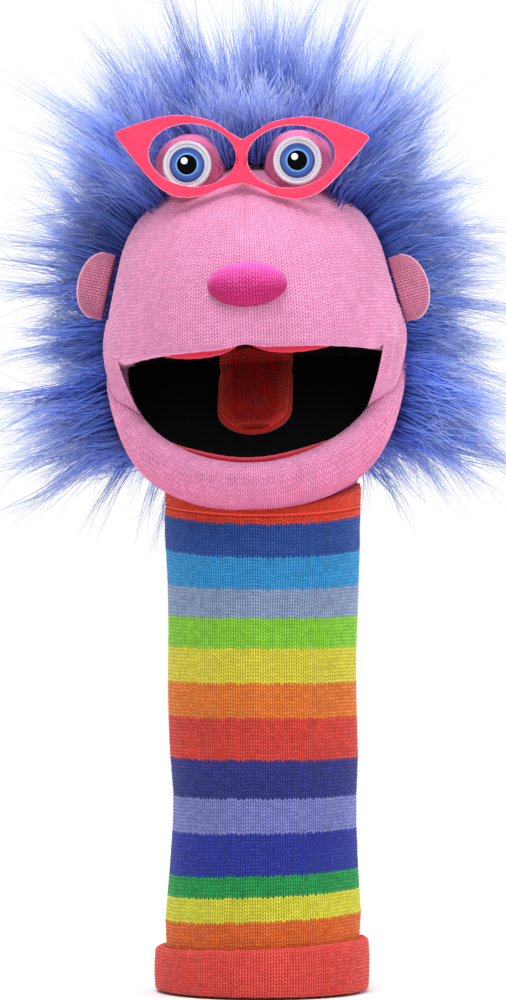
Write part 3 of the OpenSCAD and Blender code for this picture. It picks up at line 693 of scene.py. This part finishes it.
UPPER_A, UPPER_B = HEAD_A - KNIT_T - GAP - 1, HEAD_FRONT - CENTRE_Y - BACK_GAP - KNIT_T - GAP - 1
upper_lining = plate("upper_lining_felt", UPPER_A, UPPER_B, FOLD_R + 0.1, LINING_T - 0.25, UPPER, BLACK,
                     FELT_DARK)
half_area(UPPER_A, UPPER_B)
place(upper_lining, "head", "felt_black", "upper_mouth_lining")
LOW = JAW @ shift(0, -BACK_GAP, 0)
lower_lining = plate("lower_lining_felt", BOARD_A + 2.2, BOARD_B - BACK_GAP, -FOLD_R - LINING_T + 0.1,
                     LINING_T - 0.25, LOW, BLACK, FELT_DARK)
place(lower_lining, "jaw", "felt_black", "lower_mouth_lining")


def roll_point(u, v):
    a = 2 * pi * u
    r = FOLD_R - 0.15 + 0.12 * np.sin(v * 90 + 3 * a)
    ends = np.sqrt(np.clip(1 - ((v - 0.5) * 2) ** 20, 0.02, 1))
    return np.stack([(v - 0.5) * 108, r * ends * np.cos(a), r * ends * np.sin(a)], -1)


g, c = plain(roll_point, 120, 24, BLACK, True)
m_, n_ = g.shape[:2]
fold = mesh("mouth_fold_felt", put(g, HEAD @ shift(0, 0, MOUTH_Z)).reshape(-1, 3),
            [grid_faces(m_, n_, True), *end_caps(m_, n_)], FELT_DARK, c)
place(fold, "head", "felt_black", "mouth_fold")


def strip(name, low, high, depth, frame_m, colour, mat, n=140, m=7):
    """Felt edging along a half-ellipse: low and high take (angle, inset)"""
    def face(inset):
        def shape(u, v):
            f = pi * (0.02 + 0.96 * u)
            a, b = low(f, inset), high(f, inset)
            wave = (0.08 * np.sin(u * 210) * v)[..., None]
            return a * (1 - v[..., None]) + b * v[..., None] + wave * np.array([0, 0, 1])
        return shape
    return plain_slab(name, face(0.0), face(depth), m, n, colour, mat, frame_m)


CRIMSON = srgb("#e3324f")


def lens(f):
    """How deep the upper edging hangs: two lobes that meet at a notch in the middle"""
    x = np.cos(f)
    return 1.2 + 3.6 * np.clip(1 - ((np.abs(x) - 0.36) / 0.36) ** 2, 0, 1)


def upper_edge(hang):
    def at(f, inset):
        x = np.cos(f)
        return np.stack([(UPPER_A - 0.8 - inset) * x, -(UPPER_B - 0.8 - inset) * np.sin(f),
                         FOLD_R - 0.2 - hang * (1.4 + lens(f)) + hang * rim_tilt(x)], -1)
    return at


upper_trim = strip("upper_trim_felt", upper_edge(0), upper_edge(1), 1.3, UPPER, CRIMSON, FELT)
place(upper_trim, "head", "felt_crimson", "upper_lip_trim")


def lower_edge(rise):
    def at(f, inset):
        up = 0.3 + 3.9 * smooth(np.sin(f), 0.72, 0.97)
        return np.stack([(BOARD_A + 2.0 - inset) * np.cos(f),
                         -(BOARD_B - BACK_GAP - 0.2 - inset) * np.sin(f),
                         -FOLD_R - 1.3 + 1.2 * smooth(np.sin(f), 0.6, 0.8) + rise * up], -1)
    return at


lower_trim = strip("lower_trim_felt", lower_edge(0), lower_edge(1), 1.3, LOW, CRIMSON, FELT)
place(lower_trim, "jaw", "felt_crimson", "lower_lip_trim")


def pocket(name, r, length, frame_m, body, node):
    """Half a tube of cloth, a little crumpled"""
    def wall(o):
        def shape(u, v):
            a = pi * u
            rr = r - o + 0.35 * np.sin(7 * a + 9 * v) * np.sin(pi * u)
            return np.stack([rr * np.cos(a), -length * v, np.maximum(rr * np.sin(a), 0)], -1)
        return shape
    o = plain_slab(name, wall(0.4), wall(1.4), 24, 60, srgb("#2b2b31"), CLOTH, frame_m)
    return place(o, body, "lining_cloth", node)


pocket("finger_pocket_cloth", 33, 34, UPPER @ shift(0, 0, FOLD_R + LINING_T + BOARD_T), "head",
       "finger_pocket")
pocket("thumb_pocket_cloth", 17, 30, LOW @ shift(0, 0, -FOLD_R - LINING_T - BOARD_T) @ turn(1, 180),
       "jaw", "thumb_pocket")

# ---- Tongue ----
TONGUE = JAW @ shift(0, -(BACK_GAP + 1.4 + GAP), GAP - FOLD_R + 1.4)
T_W, T_L = 15.0, 42.0
TONGUE_W, TONGUE_C = 16, 34
RED, RED_RIM = srgb("#dc1c1a"), srgb("#ff3a2c")


def tongue_half(y, o):
    """Half width of the tongue y from its root"""
    r = T_W - o
    tip = T_L - T_W
    return np.where(y < tip, r, np.sqrt(np.clip(r * r - (y - tip) ** 2, 0, None)))


def tongue_surface(u, v):
    y = -4.6 + (T_L - 1.5 + 4.6) * (v / TONGUE_C)
    half = np.maximum(tongue_half(y, 1.4), 0.8)
    k = 2 * u / TONGUE_W - 1
    z = -0.2 + 2.0 * np.sqrt(np.clip(1 - np.abs(k) ** 6, 0, 1)) * np.minimum(1, (T_L - 1.2 - y) / 3 + 0.25)
    z = z + 3.2 * (1 - smooth(y, -5, 3))
    return np.stack([(half + 1.2 * (1 - smooth(y, 0, 14))) * k, -y, z], -1)


def tongue_colour(u, v):
    edge = np.minimum(np.minimum(u, TONGUE_W - u), (TONGUE_C - v) * 0.9)
    w = smooth(edge, 1.2, 3.4)[..., None]
    return RED_RIM * (1 - w) + RED * w


grid, tint = knit(tongue_surface, TONGUE_W, TONGUE_C, tongue_colour, relief=-0.8, dark=0.9, mean=0.62)
tongue_top = skin("tongue_knit", put(grid, TONGUE), tint, YARN_DARK)
place(tongue_top, "tongue", "knit_dark_red", "tongue_cover", "tongue_root")


def tongue_plate(top):
    def shape(u, v):
        a = 2 * pi * u
        x = T_W * np.cos(a)
        blunt = np.abs(np.sin(a)) ** 0.15
        y = np.where(np.sin(a) < 0, T_L - T_W - T_W * np.sin(a), (T_L - T_W) * (1 - blunt) + 2 * blunt)
        cy = (T_L - T_W) * 0.6
        z = (-0.3 if top else -1.4) + 0 * a
        return np.stack([x * v, -(cy + (y - cy) * v), z], -1)
    return shape


tongue_felt = plain_slab("tongue_felt_base", tongue_plate(True), tongue_plate(False), 8, 90,
                         srgb("#c01a16"), FELT, TONGUE, True)
place(tongue_felt, "tongue", "felt_red", "tongue_felt")

# ---- Nose ----
NOSE_UP, NOSE_X = 24.5, 2.0
NOSE_W, NOSE_C = 18, 16
root = math.sqrt(1 - (NOSE_UP / HEAD_C) ** 2)
nose_y = CENTRE_Y - HEAD_FRONT * root
nose_tilt = math.degrees(math.atan(HEAD_FRONT * NOSE_UP / (HEAD_C * HEAD_C * root)))
NOSE = HEAD @ shift(NOSE_X, nose_y - GAP, LIP_Z + NOSE_UP - 0.8) @ turn(0, -nose_tilt)


def nose_surface(u, v):
    a = np.radians(-86 + 172 * u / NOSE_W)
    b = np.radians(-96 + 192 * v / NOSE_C)
    z = 8.7 * np.cos(a) ** 0.9 * np.sin(b)
    y = -8.6 * np.cos(a) ** 0.8 * np.cos(b)
    return np.stack([15.1 * np.sin(a), y + 0.3, z], -1)


def nose_shaded_colour(u, v):
    # Painted light and shade: the nose is painted dark at its bottom and light at its top.
    w = smooth(v, 3, 14)[..., None]
    return srgb("#c81f72") * (1 - w) + srgb("#f25cbb") * w


grid, tint = knit(nose_surface, NOSE_W, NOSE_C, nose_shaded_colour, relief=0.6, dark=0.68, mean=0.85)
nose = skin("nose_knit", put(grid, NOSE), tint, YARN)
place(nose, "head", "knit_magenta", "nose_cover", "nose_stuffing")


nose_seam = cord_ring("nose_seam", *oval(15.3, 8.8, 0.3, out_x=8.8, out_y=16.1), 0.42, 44,
                      srgb("#b8306f"), YARN, NOSE @ turn(0, 90))
place(nose_seam, "head", "knit_magenta")

# ---- Eyes ----
EYE_R, WHITE_R, IRIS_R, PUPIL_R, EYE_UP = 14.0, 10.0, 7.0, 3.9, 73.0
EYE_FRONT = EYE_R - 1.2 + GAP  # the flat front of the ball, from its middle
EYE_X, EYE_Y, EYE_TILT, EYE_W, EYE_C = 22, -31, 86, 56, 19


def relief_disc(name, frame_m, r, base, height, colour, mat, inner=0.0, n_r=14, n_t=360):
    """A round plate whose top follows height(r, angle); its edge is rounded and its back is flat"""
    q = np.linspace(inner / r, 1, n_r)
    a = np.linspace(0, 2 * pi, n_t, endpoint=False)
    rr, aa = np.meshgrid(q * r, a, indexing="ij")
    round_off = np.sqrt(np.clip(1 - np.clip((rr - r + 0.5) / 0.5, 0, 1) ** 2, 0.0, 1))
    top = base + np.maximum(height(rr, aa) * (0.35 + 0.65 * round_off), 0.05)
    near = np.stack([rr * np.cos(aa), rr * np.sin(aa), top], -1)
    far = near.copy()
    far[..., 2] = base
    tint = np.concatenate([colour(rr, aa).reshape(-1, 3)] * 2)
    return slab(name, put(far, frame_m), put(near, frame_m), mat, tint, True)


def radial(n, draws=720):
    """Ridges of thread that spread from the middle"""
    rng.uniform(size=draws)  # not used here; it keeps the later draws as they are
    return lambda r, a: np.abs(np.sin(a * n / 2 + 0.12 * np.sin(r * 2 + a * 5)))


for side, label in SIDES:
    EYE = HEAD @ shift(side * EYE_X, EYE_Y, MOUTH_Z + EYE_UP) @ turn(0, EYE_TILT)

    def ball(u, v):
        a = 2 * pi * u / EYE_W
        q = np.radians(124 - 90 * v / EYE_C)
        r = EYE_R - 0.1 + 0.25 * np.sin(3 * a + side)
        z = np.minimum(r * np.cos(q), EYE_FRONT - 0.15)
        return np.stack([r * np.sin(q) * np.cos(a), r * np.sin(q) * np.sin(a), z], -1)

    grid, tint = knit(ball, EYE_W, EYE_C, even_colour(srgb("#f07fb2")), wrap=True, relief=0.6, dark=0.6,
                      mean=0.78)
    m_, n_ = grid.shape[:2]
    eye = mesh("eyeball_%s_knit" % label, put(grid, EYE).reshape(-1, 3),
               [grid_faces(m_, n_, True), end_caps(m_, n_)[1]], YARN, tint)
    place(eye, "head", "knit_pink", "eyeball_cover_%s" % label, "eyeball_stuffing_%s" % label)

    felt_white, thread_white = srgb("#c9ccd6"), srgb("#dddbe4")
    mottled = rng.uniform(0.94, 1.04, 4096)
    white = relief_disc(
        "eye_white_%s_felt" % label, EYE, WHITE_R - 1.4, EYE_FRONT,
        lambda r, a: 1.2 + 0.05 * np.sin(r * 9 + a * 14),
        lambda r, a: felt_white * mottled[((r * 37 + a * 211) % 4096).astype(int)][..., None], FELT)
    place(white, "head", "felt_grey_white", "eye_white_%s" % label)

    rim = cord_ring("eye_rim_%s_stitches" % label, *oval(8.9, 8.9, EYE_FRONT + 0.9), 0.8, 84, thread_white,
                    FELT, EYE)
    place(rim, "head", "thread_white", "eye_rim_%s" % label)

    dark_blue, light_blue = srgb("#16398c"), srgb("#3a7fe0")
    spokes = radial(104)

    def iris_colour(r, a):
        w = (1 - smooth(r, 3.6, 6.9))[..., None]
        # Painted shade: the iris is painted darker between its radial threads.
        ridge = (0.62 + 0.45 * spokes(r, a))[..., None]
        return (dark_blue * (1 - w) + light_blue * w) * ridge

    iris = relief_disc("iris_%s_satin" % label, EYE, IRIS_R, EYE_FRONT + 1.2,
                       lambda r, a: 0.3 + 0.16 * spokes(r, a), iris_colour, SATIN)
    place(iris, "head", "thread_blue", "iris_%s" % label)

    def rows(r, a):
        return np.abs(np.sin(r * np.sin(a) * 7.5))

    # Painted shade: the pupil is painted darker between its rows of satin stitch.
    pupil = relief_disc("pupil_%s_satin" % label, EYE, PUPIL_R, EYE_FRONT + 1.7,
                        lambda r, a: 0.32 + 0.14 * rows(r, a),
                        lambda r, a: srgb("#050609") * (0.7 + 0.6 * rows(r, a))[..., None], FELT_DARK, n_r=22)
    place(pupil, "head", "thread_black", "pupil_%s" % label)

    ring = cord_ring("iris_ring_%s" % label, *oval(4.3, 4.3, EYE_FRONT + 1.72), 0.3, 40, srgb("#7fb4ef"),
                     SATIN, EYE)
    place(ring, "head", "thread_blue")
    glint = relief_disc("glint_%s_satin" % label, EYE @ shift(-1, 1.5, 0), 1.35, EYE_FRONT + 2.15,
                        lambda r, a: 0.3 + 0.08 * np.abs(np.sin(r * np.cos(a) * 9)),
                        even_colour(srgb("#f7f8fb")), SATIN, n_r=10, n_t=64)
    place(glint, "head", "thread_white", "glint_%s" % label)

# ---- Glasses ----
GLASSES_W, GLASSES_T = 51.0, 2.4
# Half sizes and middle of a lens hole, as shares of the half width, and its lean in degrees
LENS_A, LENS_B, LENS_X, LENS_Y, LENS_LEAN = 0.342, 0.245, 0.385, 0.04, 5
# Half of the outline, from the top of the bridge round to its foot
CAT_EYE = np.array([
    [0, 0.167], [0.1, 0.226], [0.24, 0.31], [0.47, 0.353], [0.65, 0.333], [0.8, 0.286],
    [0.94, 0.235], [0.99, 0.196], [0.95, 0.133], [0.86, 0.02], [0.75, -0.11], [0.647, -0.212],
    [0.53, -0.275], [0.427, -0.294], [0.275, -0.27], [0.157, -0.216], [0, -0.173]]) * GLASSES_W


def spline(p, steps):
    rows = []
    for i in range(len(p) - 1):
        a, b, c, d = p[max(0, i - 1)], p[i], p[i + 1], p[min(len(p) - 1, i + 2)]
        for k in range(steps):
            u = k / steps
            rows.append(0.5 * (2 * b + (c - a) * u + (2 * a - 5 * b + 4 * c - d) * u * u
                               + (3 * b - a - 3 * c + d) * u ** 3))
    return np.array(rows + [p[-1]])


half = spline(CAT_EYE, 6)
outline = np.concatenate([half, (half * [-1, 1])[-2:0:-1]])
holes = []
for side in (1, -1):
    a = np.radians(np.arange(0, 360, 5))
    u, v = LENS_A * GLASSES_W * np.cos(a), LENS_B * GLASSES_W * np.sin(a)
    c, s = math.cos(math.radians(LENS_LEAN)), math.sin(math.radians(LENS_LEAN))
    holes.append(np.stack([side * (LENS_X * GLASSES_W + u * c - v * s), LENS_Y * GLASSES_W + u * s + v * c], -1))
GLASSES = (HEAD @ shift(0, EYE_Y - EYE_FRONT - 2.2 - 1.2, MOUTH_Z + EYE_UP + 1.4) @ turn(0, EYE_TILT)
           @ turn(2, -3))


def cut_felt(name, loops, thick, frame_m, colour, edge_highlight, voxel=0.55, round_off=0.35):
    """Felt cut to a flat outline with holes: filled, thickened, rounded and a little uneven"""
    curve = bpy.data.curves.new(name, "CURVE")
    curve.dimensions, curve.fill_mode = "2D", "BOTH"
    curve.extrude, curve.bevel_depth, curve.bevel_resolution = (thick / 2 - round_off) * MM, round_off * MM, 2
    curve.offset = -round_off * MM
    for loop in loops:
        sp = curve.splines.new("POLY")
        sp.points.add(len(loop) - 1)
        sp.use_cyclic_u = True
        for pt, (x, y) in zip(sp.points, loop * MM):
            pt.co = (x, y, 0, 1)
    tmp = bpy.data.objects.new(name + "_cut", curve)
    bpy.context.scene.collection.objects.link(tmp)
    rough = bpy.data.meshes.new_from_object(tmp)
    bpy.data.objects.remove(tmp)
    o = bpy.data.objects.new(name, rough)
    bpy.context.scene.collection.objects.link(o)
    mod = o.modifiers.new("even", "REMESH")
    mod.mode, mod.voxel_size, mod.use_smooth_shade = "VOXEL", voxel * MM, True
    dg = bpy.context.evaluated_depsgraph_get()
    dg.update()
    done = bpy.data.meshes.new_from_object(o.evaluated_get(dg))
    bpy.data.objects.remove(o)
    co = np.zeros(len(done.vertices) * 3)
    done.vertices.foreach_get("co", co)
    p = co.reshape(-1, 3) / MM
    flat = np.abs(p[:, 2]) / (thick / 2)
    p[:, 2] += 0.12 * np.sin(p[:, 0] * 0.9) * np.sin(p[:, 1] * 1.3) * (flat > 0.5)
    # Painted highlight: the rounded cut edges are painted a paler pink than the faces.
    w = smooth(flat, 0.62, 0.92)[:, None]
    tint = edge_highlight * (1 - w) + colour * w
    tint = tint * (1 + rng.uniform(-0.05, 0.05, (len(p), 1)))
    p[:, 2] += thick / 2
    quads = np.zeros(len(done.loops), np.int32)
    done.loops.foreach_get("vertex_index", quads)
    sizes = np.zeros(len(done.polygons), np.int32)
    done.polygons.foreach_get("loop_total", sizes)
    starts = np.cumsum(sizes) - sizes
    faces = [np.array([quads[s:s + n] for s in starts[sizes == n]]) for n in np.unique(sizes)]
    return mesh(name, put(p, frame_m), faces, FELT, tint)


glasses = cut_felt("glasses_felt", [outline] + holes, GLASSES_T, GLASSES, srgb("#fb3c60"), srgb("#ff9cbb"))
place(glasses, "head", "felt_red_pink", "glasses")
for k, x in enumerate((-1.6, 1.6)):
    tack = cord_ring("glasses_tack_%d" % (k + 1), *oval(0.35, 1.7, GLASSES_T + 0.1, x, out_y=0.4), 0.3, 8,
                     srgb("#d8284f"), SATIN, GLASSES)
    place(tack, "head", "thread_crimson", *(["glasses_tacks"] if k == 0 else []))

# ---- Ears ----
EAR_UP, EAR_H, EAR_W, EAR_T = 24.0, 27.0, 17.0, 8.0
EAR_WALES, EAR_C = 16, 26
root = math.sqrt(1 - (EAR_UP / HEAD_C) ** 2)
ear_lean = math.degrees(math.atan(HEAD_A * EAR_UP / (HEAD_C * HEAD_C * root)))
ROSE = srgb("#d983a4")
for side, label in SIDES:
    EAR = (HEAD @ shift(side * HEAD_A * root, CENTRE_Y, LIP_Z + EAR_UP - 0.8 - 2.6 * side)
           @ turn(2, 0 if side > 0 else 180) @ turn(1, -ear_lean) @ shift(EAR_T / 2 + GAP + 1.0, 0, 0))
    reach = EAR_W - EAR_T / 2 - GAP - 2.4

    def ear_surface(u, v):
        a = np.radians(-84 + 168 * u / EAR_WALES)
        b = np.radians(-128 + 256 * v / EAR_C)
        x = reach * np.cos(a) ** 0.8 * np.cos(b)
        x = np.where(np.cos(b) < 0, 3.6 * np.cos(b), x)
        y = (EAR_T / 2 - 0.3) * np.cos(a) ** 0.6 * np.sin(b)
        return np.stack([x, y, (EAR_H / 2 - 0.3) * np.sin(a)], -1)

    grid, tint = knit(ear_surface, EAR_WALES, EAR_C, even_colour(ROSE), relief=-0.7, dark=0.7, mean=0.8)
    ear = skin("ear_%s_knit" % label, put(grid, EAR), tint, YARN)
    place(ear, "ear_%s" % label, "knit_rose", "ear_cover_%s" % label, "ear_stuffing_%s" % label)
    a = np.radians(np.linspace(-80, 80, 90))
    line = np.stack([(reach + 0.25) * np.cos(a) ** 0.8, 0 * a, (EAR_H / 2) * np.sin(a)], -1)
    out = np.stack([np.cos(a), 0 * a, np.sin(a)], -1)
    q = np.arange(CORD_SIDES) / CORD_SIDES * 2 * pi
    tube = line[:, None] + 0.45 * (np.cos(q)[None, :, None] * out[:, None] + np.sin(q)[None, :, None]
                                   * np.array([0.0, 1, 0]))
    faces = [grid_faces(len(a), CORD_SIDES, True), *end_caps(len(a), CORD_SIDES)]
    # Painted light and shade: the plain tube is painted in lighter and darker bands, as light would fall on
    # twisted thread.
    twist = np.abs(np.sin(np.arange(len(a) * CORD_SIDES) / CORD_SIDES * 1.1))[:, None]
    seam = mesh("ear_seam_%s" % label, put(tube, EAR).reshape(-1, 3), faces, YARN,
                srgb("#eab1c6") * (0.85 + 0.2 * twist))
    place(seam, "ear_%s" % label, "knit_rose")

# ---- Fur ----
FUR_ROOT, FUR_MID, FUR_TIP = srgb("#3a58c4"), srgb("#678bee"), srgb("#d4e0ff")
# The box that hair stays in, inside the size limit
FUR_ROOM = ((-114, 110), (-110, 102.5), (150, 414))


def root_at(t, f):
    """A root on the fur's backing, and the way out of it: past t 90 it is on the nape"""
    up = dome(2.4, np.minimum(t, 90), f)
    s = np.clip((t - 90) / 35, 0, 1) * 0.85
    low = nape(2.4, s, f)
    p = np.where((t <= 90)[:, None], up, low)
    e = 0.5
    q = dome(2.4, np.minimum(t, 90) + e, f) - dome(2.4, np.minimum(t, 90) - e, f)
    w = dome(2.4, np.minimum(t, 90), f + e) - dome(2.4, np.minimum(t, 90), f - e)
    n = np.cross(q, w)
    n /= np.linalg.norm(n, axis=-1, keepdims=True)
    return p, n


def hold(p, room, soft=11.0):
    """Hair that reaches the edge of its room bends along it"""
    for axis, (low, high) in enumerate(room):
        x = p[..., axis]
        over, under = np.maximum(x - high + soft, 0), np.maximum(low + soft - x, 0)
        p[..., axis] = (x - over + soft * (1 - np.exp(-over / soft))
                        + under - soft * (1 - np.exp(-under / soft)))
    return p


def fur(name, node, t_range, f_range, clumps, strands, length, seed, droop=0.25, up=0.0, levels=7, fine=1.0):
    """Locks of hair: each is a bunch of fine strands that draws to a point"""
    g = np.random.default_rng(seed)
    if t_range[1] <= 90:
        near, far = (math.cos(math.radians(x)) for x in t_range)
        t = np.degrees(np.arccos(g.uniform(far, near, clumps)))
    else:
        t = g.uniform(t_range[0], t_range[1], clumps)
    f = g.uniform(f_range[0], f_range[1], clumps)
    by_ear = (np.abs(t - 72) < 20) & (np.abs(np.cos(np.radians(f))) > 0.965)
    f = np.where(by_ear, np.where(f < 90, f + 22, f - 22), f)
    p, n = root_at(t, f)
    centre = np.array([0, CENTRE_Y + 8, LIP_Z + 22])
    ray = p - centre
    ray /= np.linalg.norm(ray, axis=-1, keepdims=True)
    way = 0.75 * n + 0.55 * ray + g.normal(0, 0.2, (clumps, 3))
    way[:, 2] += up
    way[:, 1] += 0.35 * ((np.abs(t - 72) < 26) & (np.abs(np.cos(np.radians(f))) > 0.8))
    way /= np.linalg.norm(way, axis=-1, keepdims=True)
    size = length * g.uniform(0.62, 1.06, clumps)
    curl = g.normal(0, 0.16, (clumps, 3)) * size[:, None]
    curl[:, 2] -= droop * size * g.uniform(0.5, 1.3, clumps)
    s = np.linspace(0, 1, levels)
    own = np.repeat(np.arange(clumps), strands)
    k = len(own)
    spread = g.normal(0, 2.6, (k, 3))
    spread -= n[own] * (spread * n[own]).sum(-1, keepdims=True)
    share = g.uniform(0.7, 1.08, k)
    stray = g.normal(0, 1, (k, 3)) * np.where(g.random(k) < 0.16, 7.0, 1.9)[:, None]
    tight = g.uniform(0.4, 0.93, k)
    wave, swing = g.uniform(0, 2 * pi, clumps)[own] + g.normal(0, 0.5, k), g.normal(0, 1, (clumps, 3))[own]
    pts = []
    for q in s:
        x = q * share
        line = (way[own] * (size[own] * x)[:, None] + curl[own] * (x ** 2)[:, None])
        pull = 1 - tight * q ** 1.2
        wob = np.sin(wave + q * 5)[:, None] * swing * 1.5 * q
        pts.append(p[own] + line + spread * pull[:, None] + stray * q ** 2 + wob)
    pts = hold(put(np.stack(pts, 1), HEAD), FUR_ROOM)
    tangent = np.gradient(pts, axis=1)
    tangent /= np.linalg.norm(tangent, axis=-1, keepdims=True)
    side_a = np.cross(tangent, np.array([0.31, 0.85, 0.42]))
    side_a /= np.maximum(np.linalg.norm(side_a, axis=-1, keepdims=True), 1e-6)
    side_b = np.cross(tangent, side_a)
    thick = fine * g.uniform(0.17, 0.27, k)
    rad = thick[:, None] * (1 - 0.82 * s[None] ** 1.6)
    ring = []
    for q in range(3):
        a = 2 * pi * q / 3
        ring.append(pts + rad[..., None] * (math.cos(a) * side_a + math.sin(a) * side_b))
    v = np.stack(ring, 2)
    base = (np.arange(k) * levels * 3)[:, None, None]
    i, j = np.meshgrid(np.arange(levels - 1), np.arange(3), indexing="ij")
    j2 = (j + 1) % 3
    quad = np.stack([i * 3 + j, i * 3 + j2, (i + 1) * 3 + j2, (i + 1) * 3 + j], -1).reshape(-1, 4)
    quads = (base + quad[None]).reshape(-1, 4)
    ends = (base[:, 0] + np.array([[2, 1, 0]])).reshape(-1, 3)
    tips = (base[:, 0] + (levels - 1) * 3 + np.array([[0, 1, 2]])).reshape(-1, 3)
    lock = g.uniform(0.82, 1.15, clumps)[own] * g.uniform(0.86, 1.12, k)
    w1 = smooth(s, 0.0, 0.5)[None, :, None]
    w2 = smooth(s, 0.45, 1.0)[None, :, None] * g.uniform(0.3, 1.0, k)[:, None, None]
    c = (FUR_ROOT * (1 - w1) + FUR_MID * w1) * (1 - w2) + FUR_TIP * w2
    c = np.repeat((c * lock[:, None, None])[:, :, None], 3, 2).reshape(-1, 3)
    o = mesh(name, v.reshape(-1, 3), [quads, ends, tips], FUR, c)
    return place(o, "head", "fur_blue", *([node] if node else []))


fur("fur_top_front", "hair_top", (5, 42), (-32, 212), 150, 34, 64, 11, droop=0.02, up=0.25)
fur("fur_top_back", None, (0.5, 36), (20, 160), 120, 34, 62, 12, droop=0.1, up=0.2)
fur("fur_left_upper", "hair_left", (32, 74), (0, 50), 140, 36, 55, 13, droop=0.06, up=0.08)
fur("fur_left_lower", None, (68, 112), (2, 50), 140, 36, 49, 14, droop=0.12, up=0.0)
fur("fur_right_upper", "hair_right", (32, 74), (130, 180), 140, 36, 55, 15, droop=0.06, up=0.08)
fur("fur_right_lower", None, (68, 112), (130, 178), 140, 36, 49, 16, droop=0.12, up=0.0)
fur("fur_back", "hair_back", (32, 90), (46, 134), 200, 25, 42, 17, droop=0.3)
fur("fur_nape", "hair_nape", (88, 120), (28, 152), 150, 24, 36, 18, droop=0.3)
fur("fur_brow", None, (4, 21), (214, 326), 70, 20, 34, 22, droop=0.0, up=0.5)
fur("fur_fluff_top", None, (6, 44), (-34, 214), 640, 8, 34, 19, droop=0.05, up=0.15, fine=0.85)
fur("fur_fluff_left", None, (36, 112), (0, 48), 320, 8, 34, 20, droop=0.12, fine=0.85)
fur("fur_fluff_right", None, (36, 112), (132, 180), 320, 8, 34, 21, droop=0.12, fine=0.85)

# ---- Stage, lights and camera ----
def simple(name, colour, rough):
    m = bpy.data.materials.new(name)
    m.use_nodes = True
    b = m.node_tree.nodes["Principled BSDF"]
    b.inputs["Base Color"].default_value = (*srgb(colour), 1)
    b.inputs["Roughness"].default_value = rough
    return m


paper = simple("studio_paper", "#fbfbfc", 0.9)
FLOOR_R, FLOOR_M, FLOOR_N = 850, 24, 96
far, way_round = np.meshgrid(np.linspace(2, FLOOR_R, FLOOR_M), np.linspace(0, 2 * pi, FLOOR_N, endpoint=False),
                             indexing="ij")
disc = np.stack([far * np.cos(way_round), far * np.sin(way_round), -0.3 + 0 * far], -1)
middle = np.arange(FLOOR_N)[None]
floor = mesh("studio_floor", disc.reshape(-1, 3), [grid_faces(FLOOR_M, FLOOR_N, True, True), middle], paper)


def lamp(name, energy, size, place_at, aim, colour=(1, 1, 1)):
    data = bpy.data.lights.new(name, "AREA")
    data.energy, data.size, data.color = energy, size, colour
    o = bpy.data.objects.new(name, data)
    bpy.context.scene.collection.objects.link(o)
    o.location = place_at
    o.rotation_euler = (Vector(aim) - Vector(place_at)).to_track_quat("-Z", "Y").to_euler()


lamp("key", 19, 0.8, (-0.25, -0.85, 1.75), (0, 0, 0.24))
lamp("fill", 9, 1.0, (1.3, -0.8, 1.0), (0, 0, 0.22))
lamp("top", 16, 0.9, (0, 0.2, 1.5), (0, 0, 0.3))
world = bpy.data.worlds.new("studio")
world.use_nodes = True
sky = world.node_tree.nodes["Background"]
sky.inputs[0].default_value = (1, 1, 1, 1)
seen = world.node_tree.nodes.new("ShaderNodeLightPath")
level = world.node_tree.nodes.new("ShaderNodeMapRange")
SKY_LIGHT, SKY_SEEN = 0.56, 1.0  # as light on the puppet, and as the camera sees it
level.inputs["To Min"].default_value, level.inputs["To Max"].default_value = SKY_LIGHT, SKY_SEEN
world.node_tree.links.new(seen.outputs["Is Camera Ray"], level.inputs["Value"])
world.node_tree.links.new(level.outputs["Result"], sky.inputs[1])
bpy.context.scene.world = world

cam_data = bpy.data.cameras.new("camera")
cam = bpy.data.objects.new("camera", cam_data)
bpy.context.scene.collection.objects.link(cam)
# In metres: how far off and how high the camera is, the height the picture covers, the puppet's front and middle
DISTANCE, EYE_LEVEL, VIEW_H, FRONT_Y, MIDDLE_X, MIDDLE_Z = 2.3, 0.209, 0.400, 0.03, -0.0036, 0.1988
SENSOR = 36
cam.location = (0, -DISTANCE, EYE_LEVEL)
cam.rotation_euler = (math.radians(90), 0, 0)
cam_data.sensor_width = SENSOR
cam_data.lens = SENSOR * (DISTANCE - FRONT_Y) / VIEW_H
cam_data.shift_y = (MIDDLE_Z - EYE_LEVEL) / VIEW_H
cam_data.shift_x = MIDDLE_X / VIEW_H
cam_data.clip_start, cam_data.clip_end = 0.1, 20
bpy.context.scene.camera = cam
bpy.context.scene.view_settings.view_transform = "Standard"
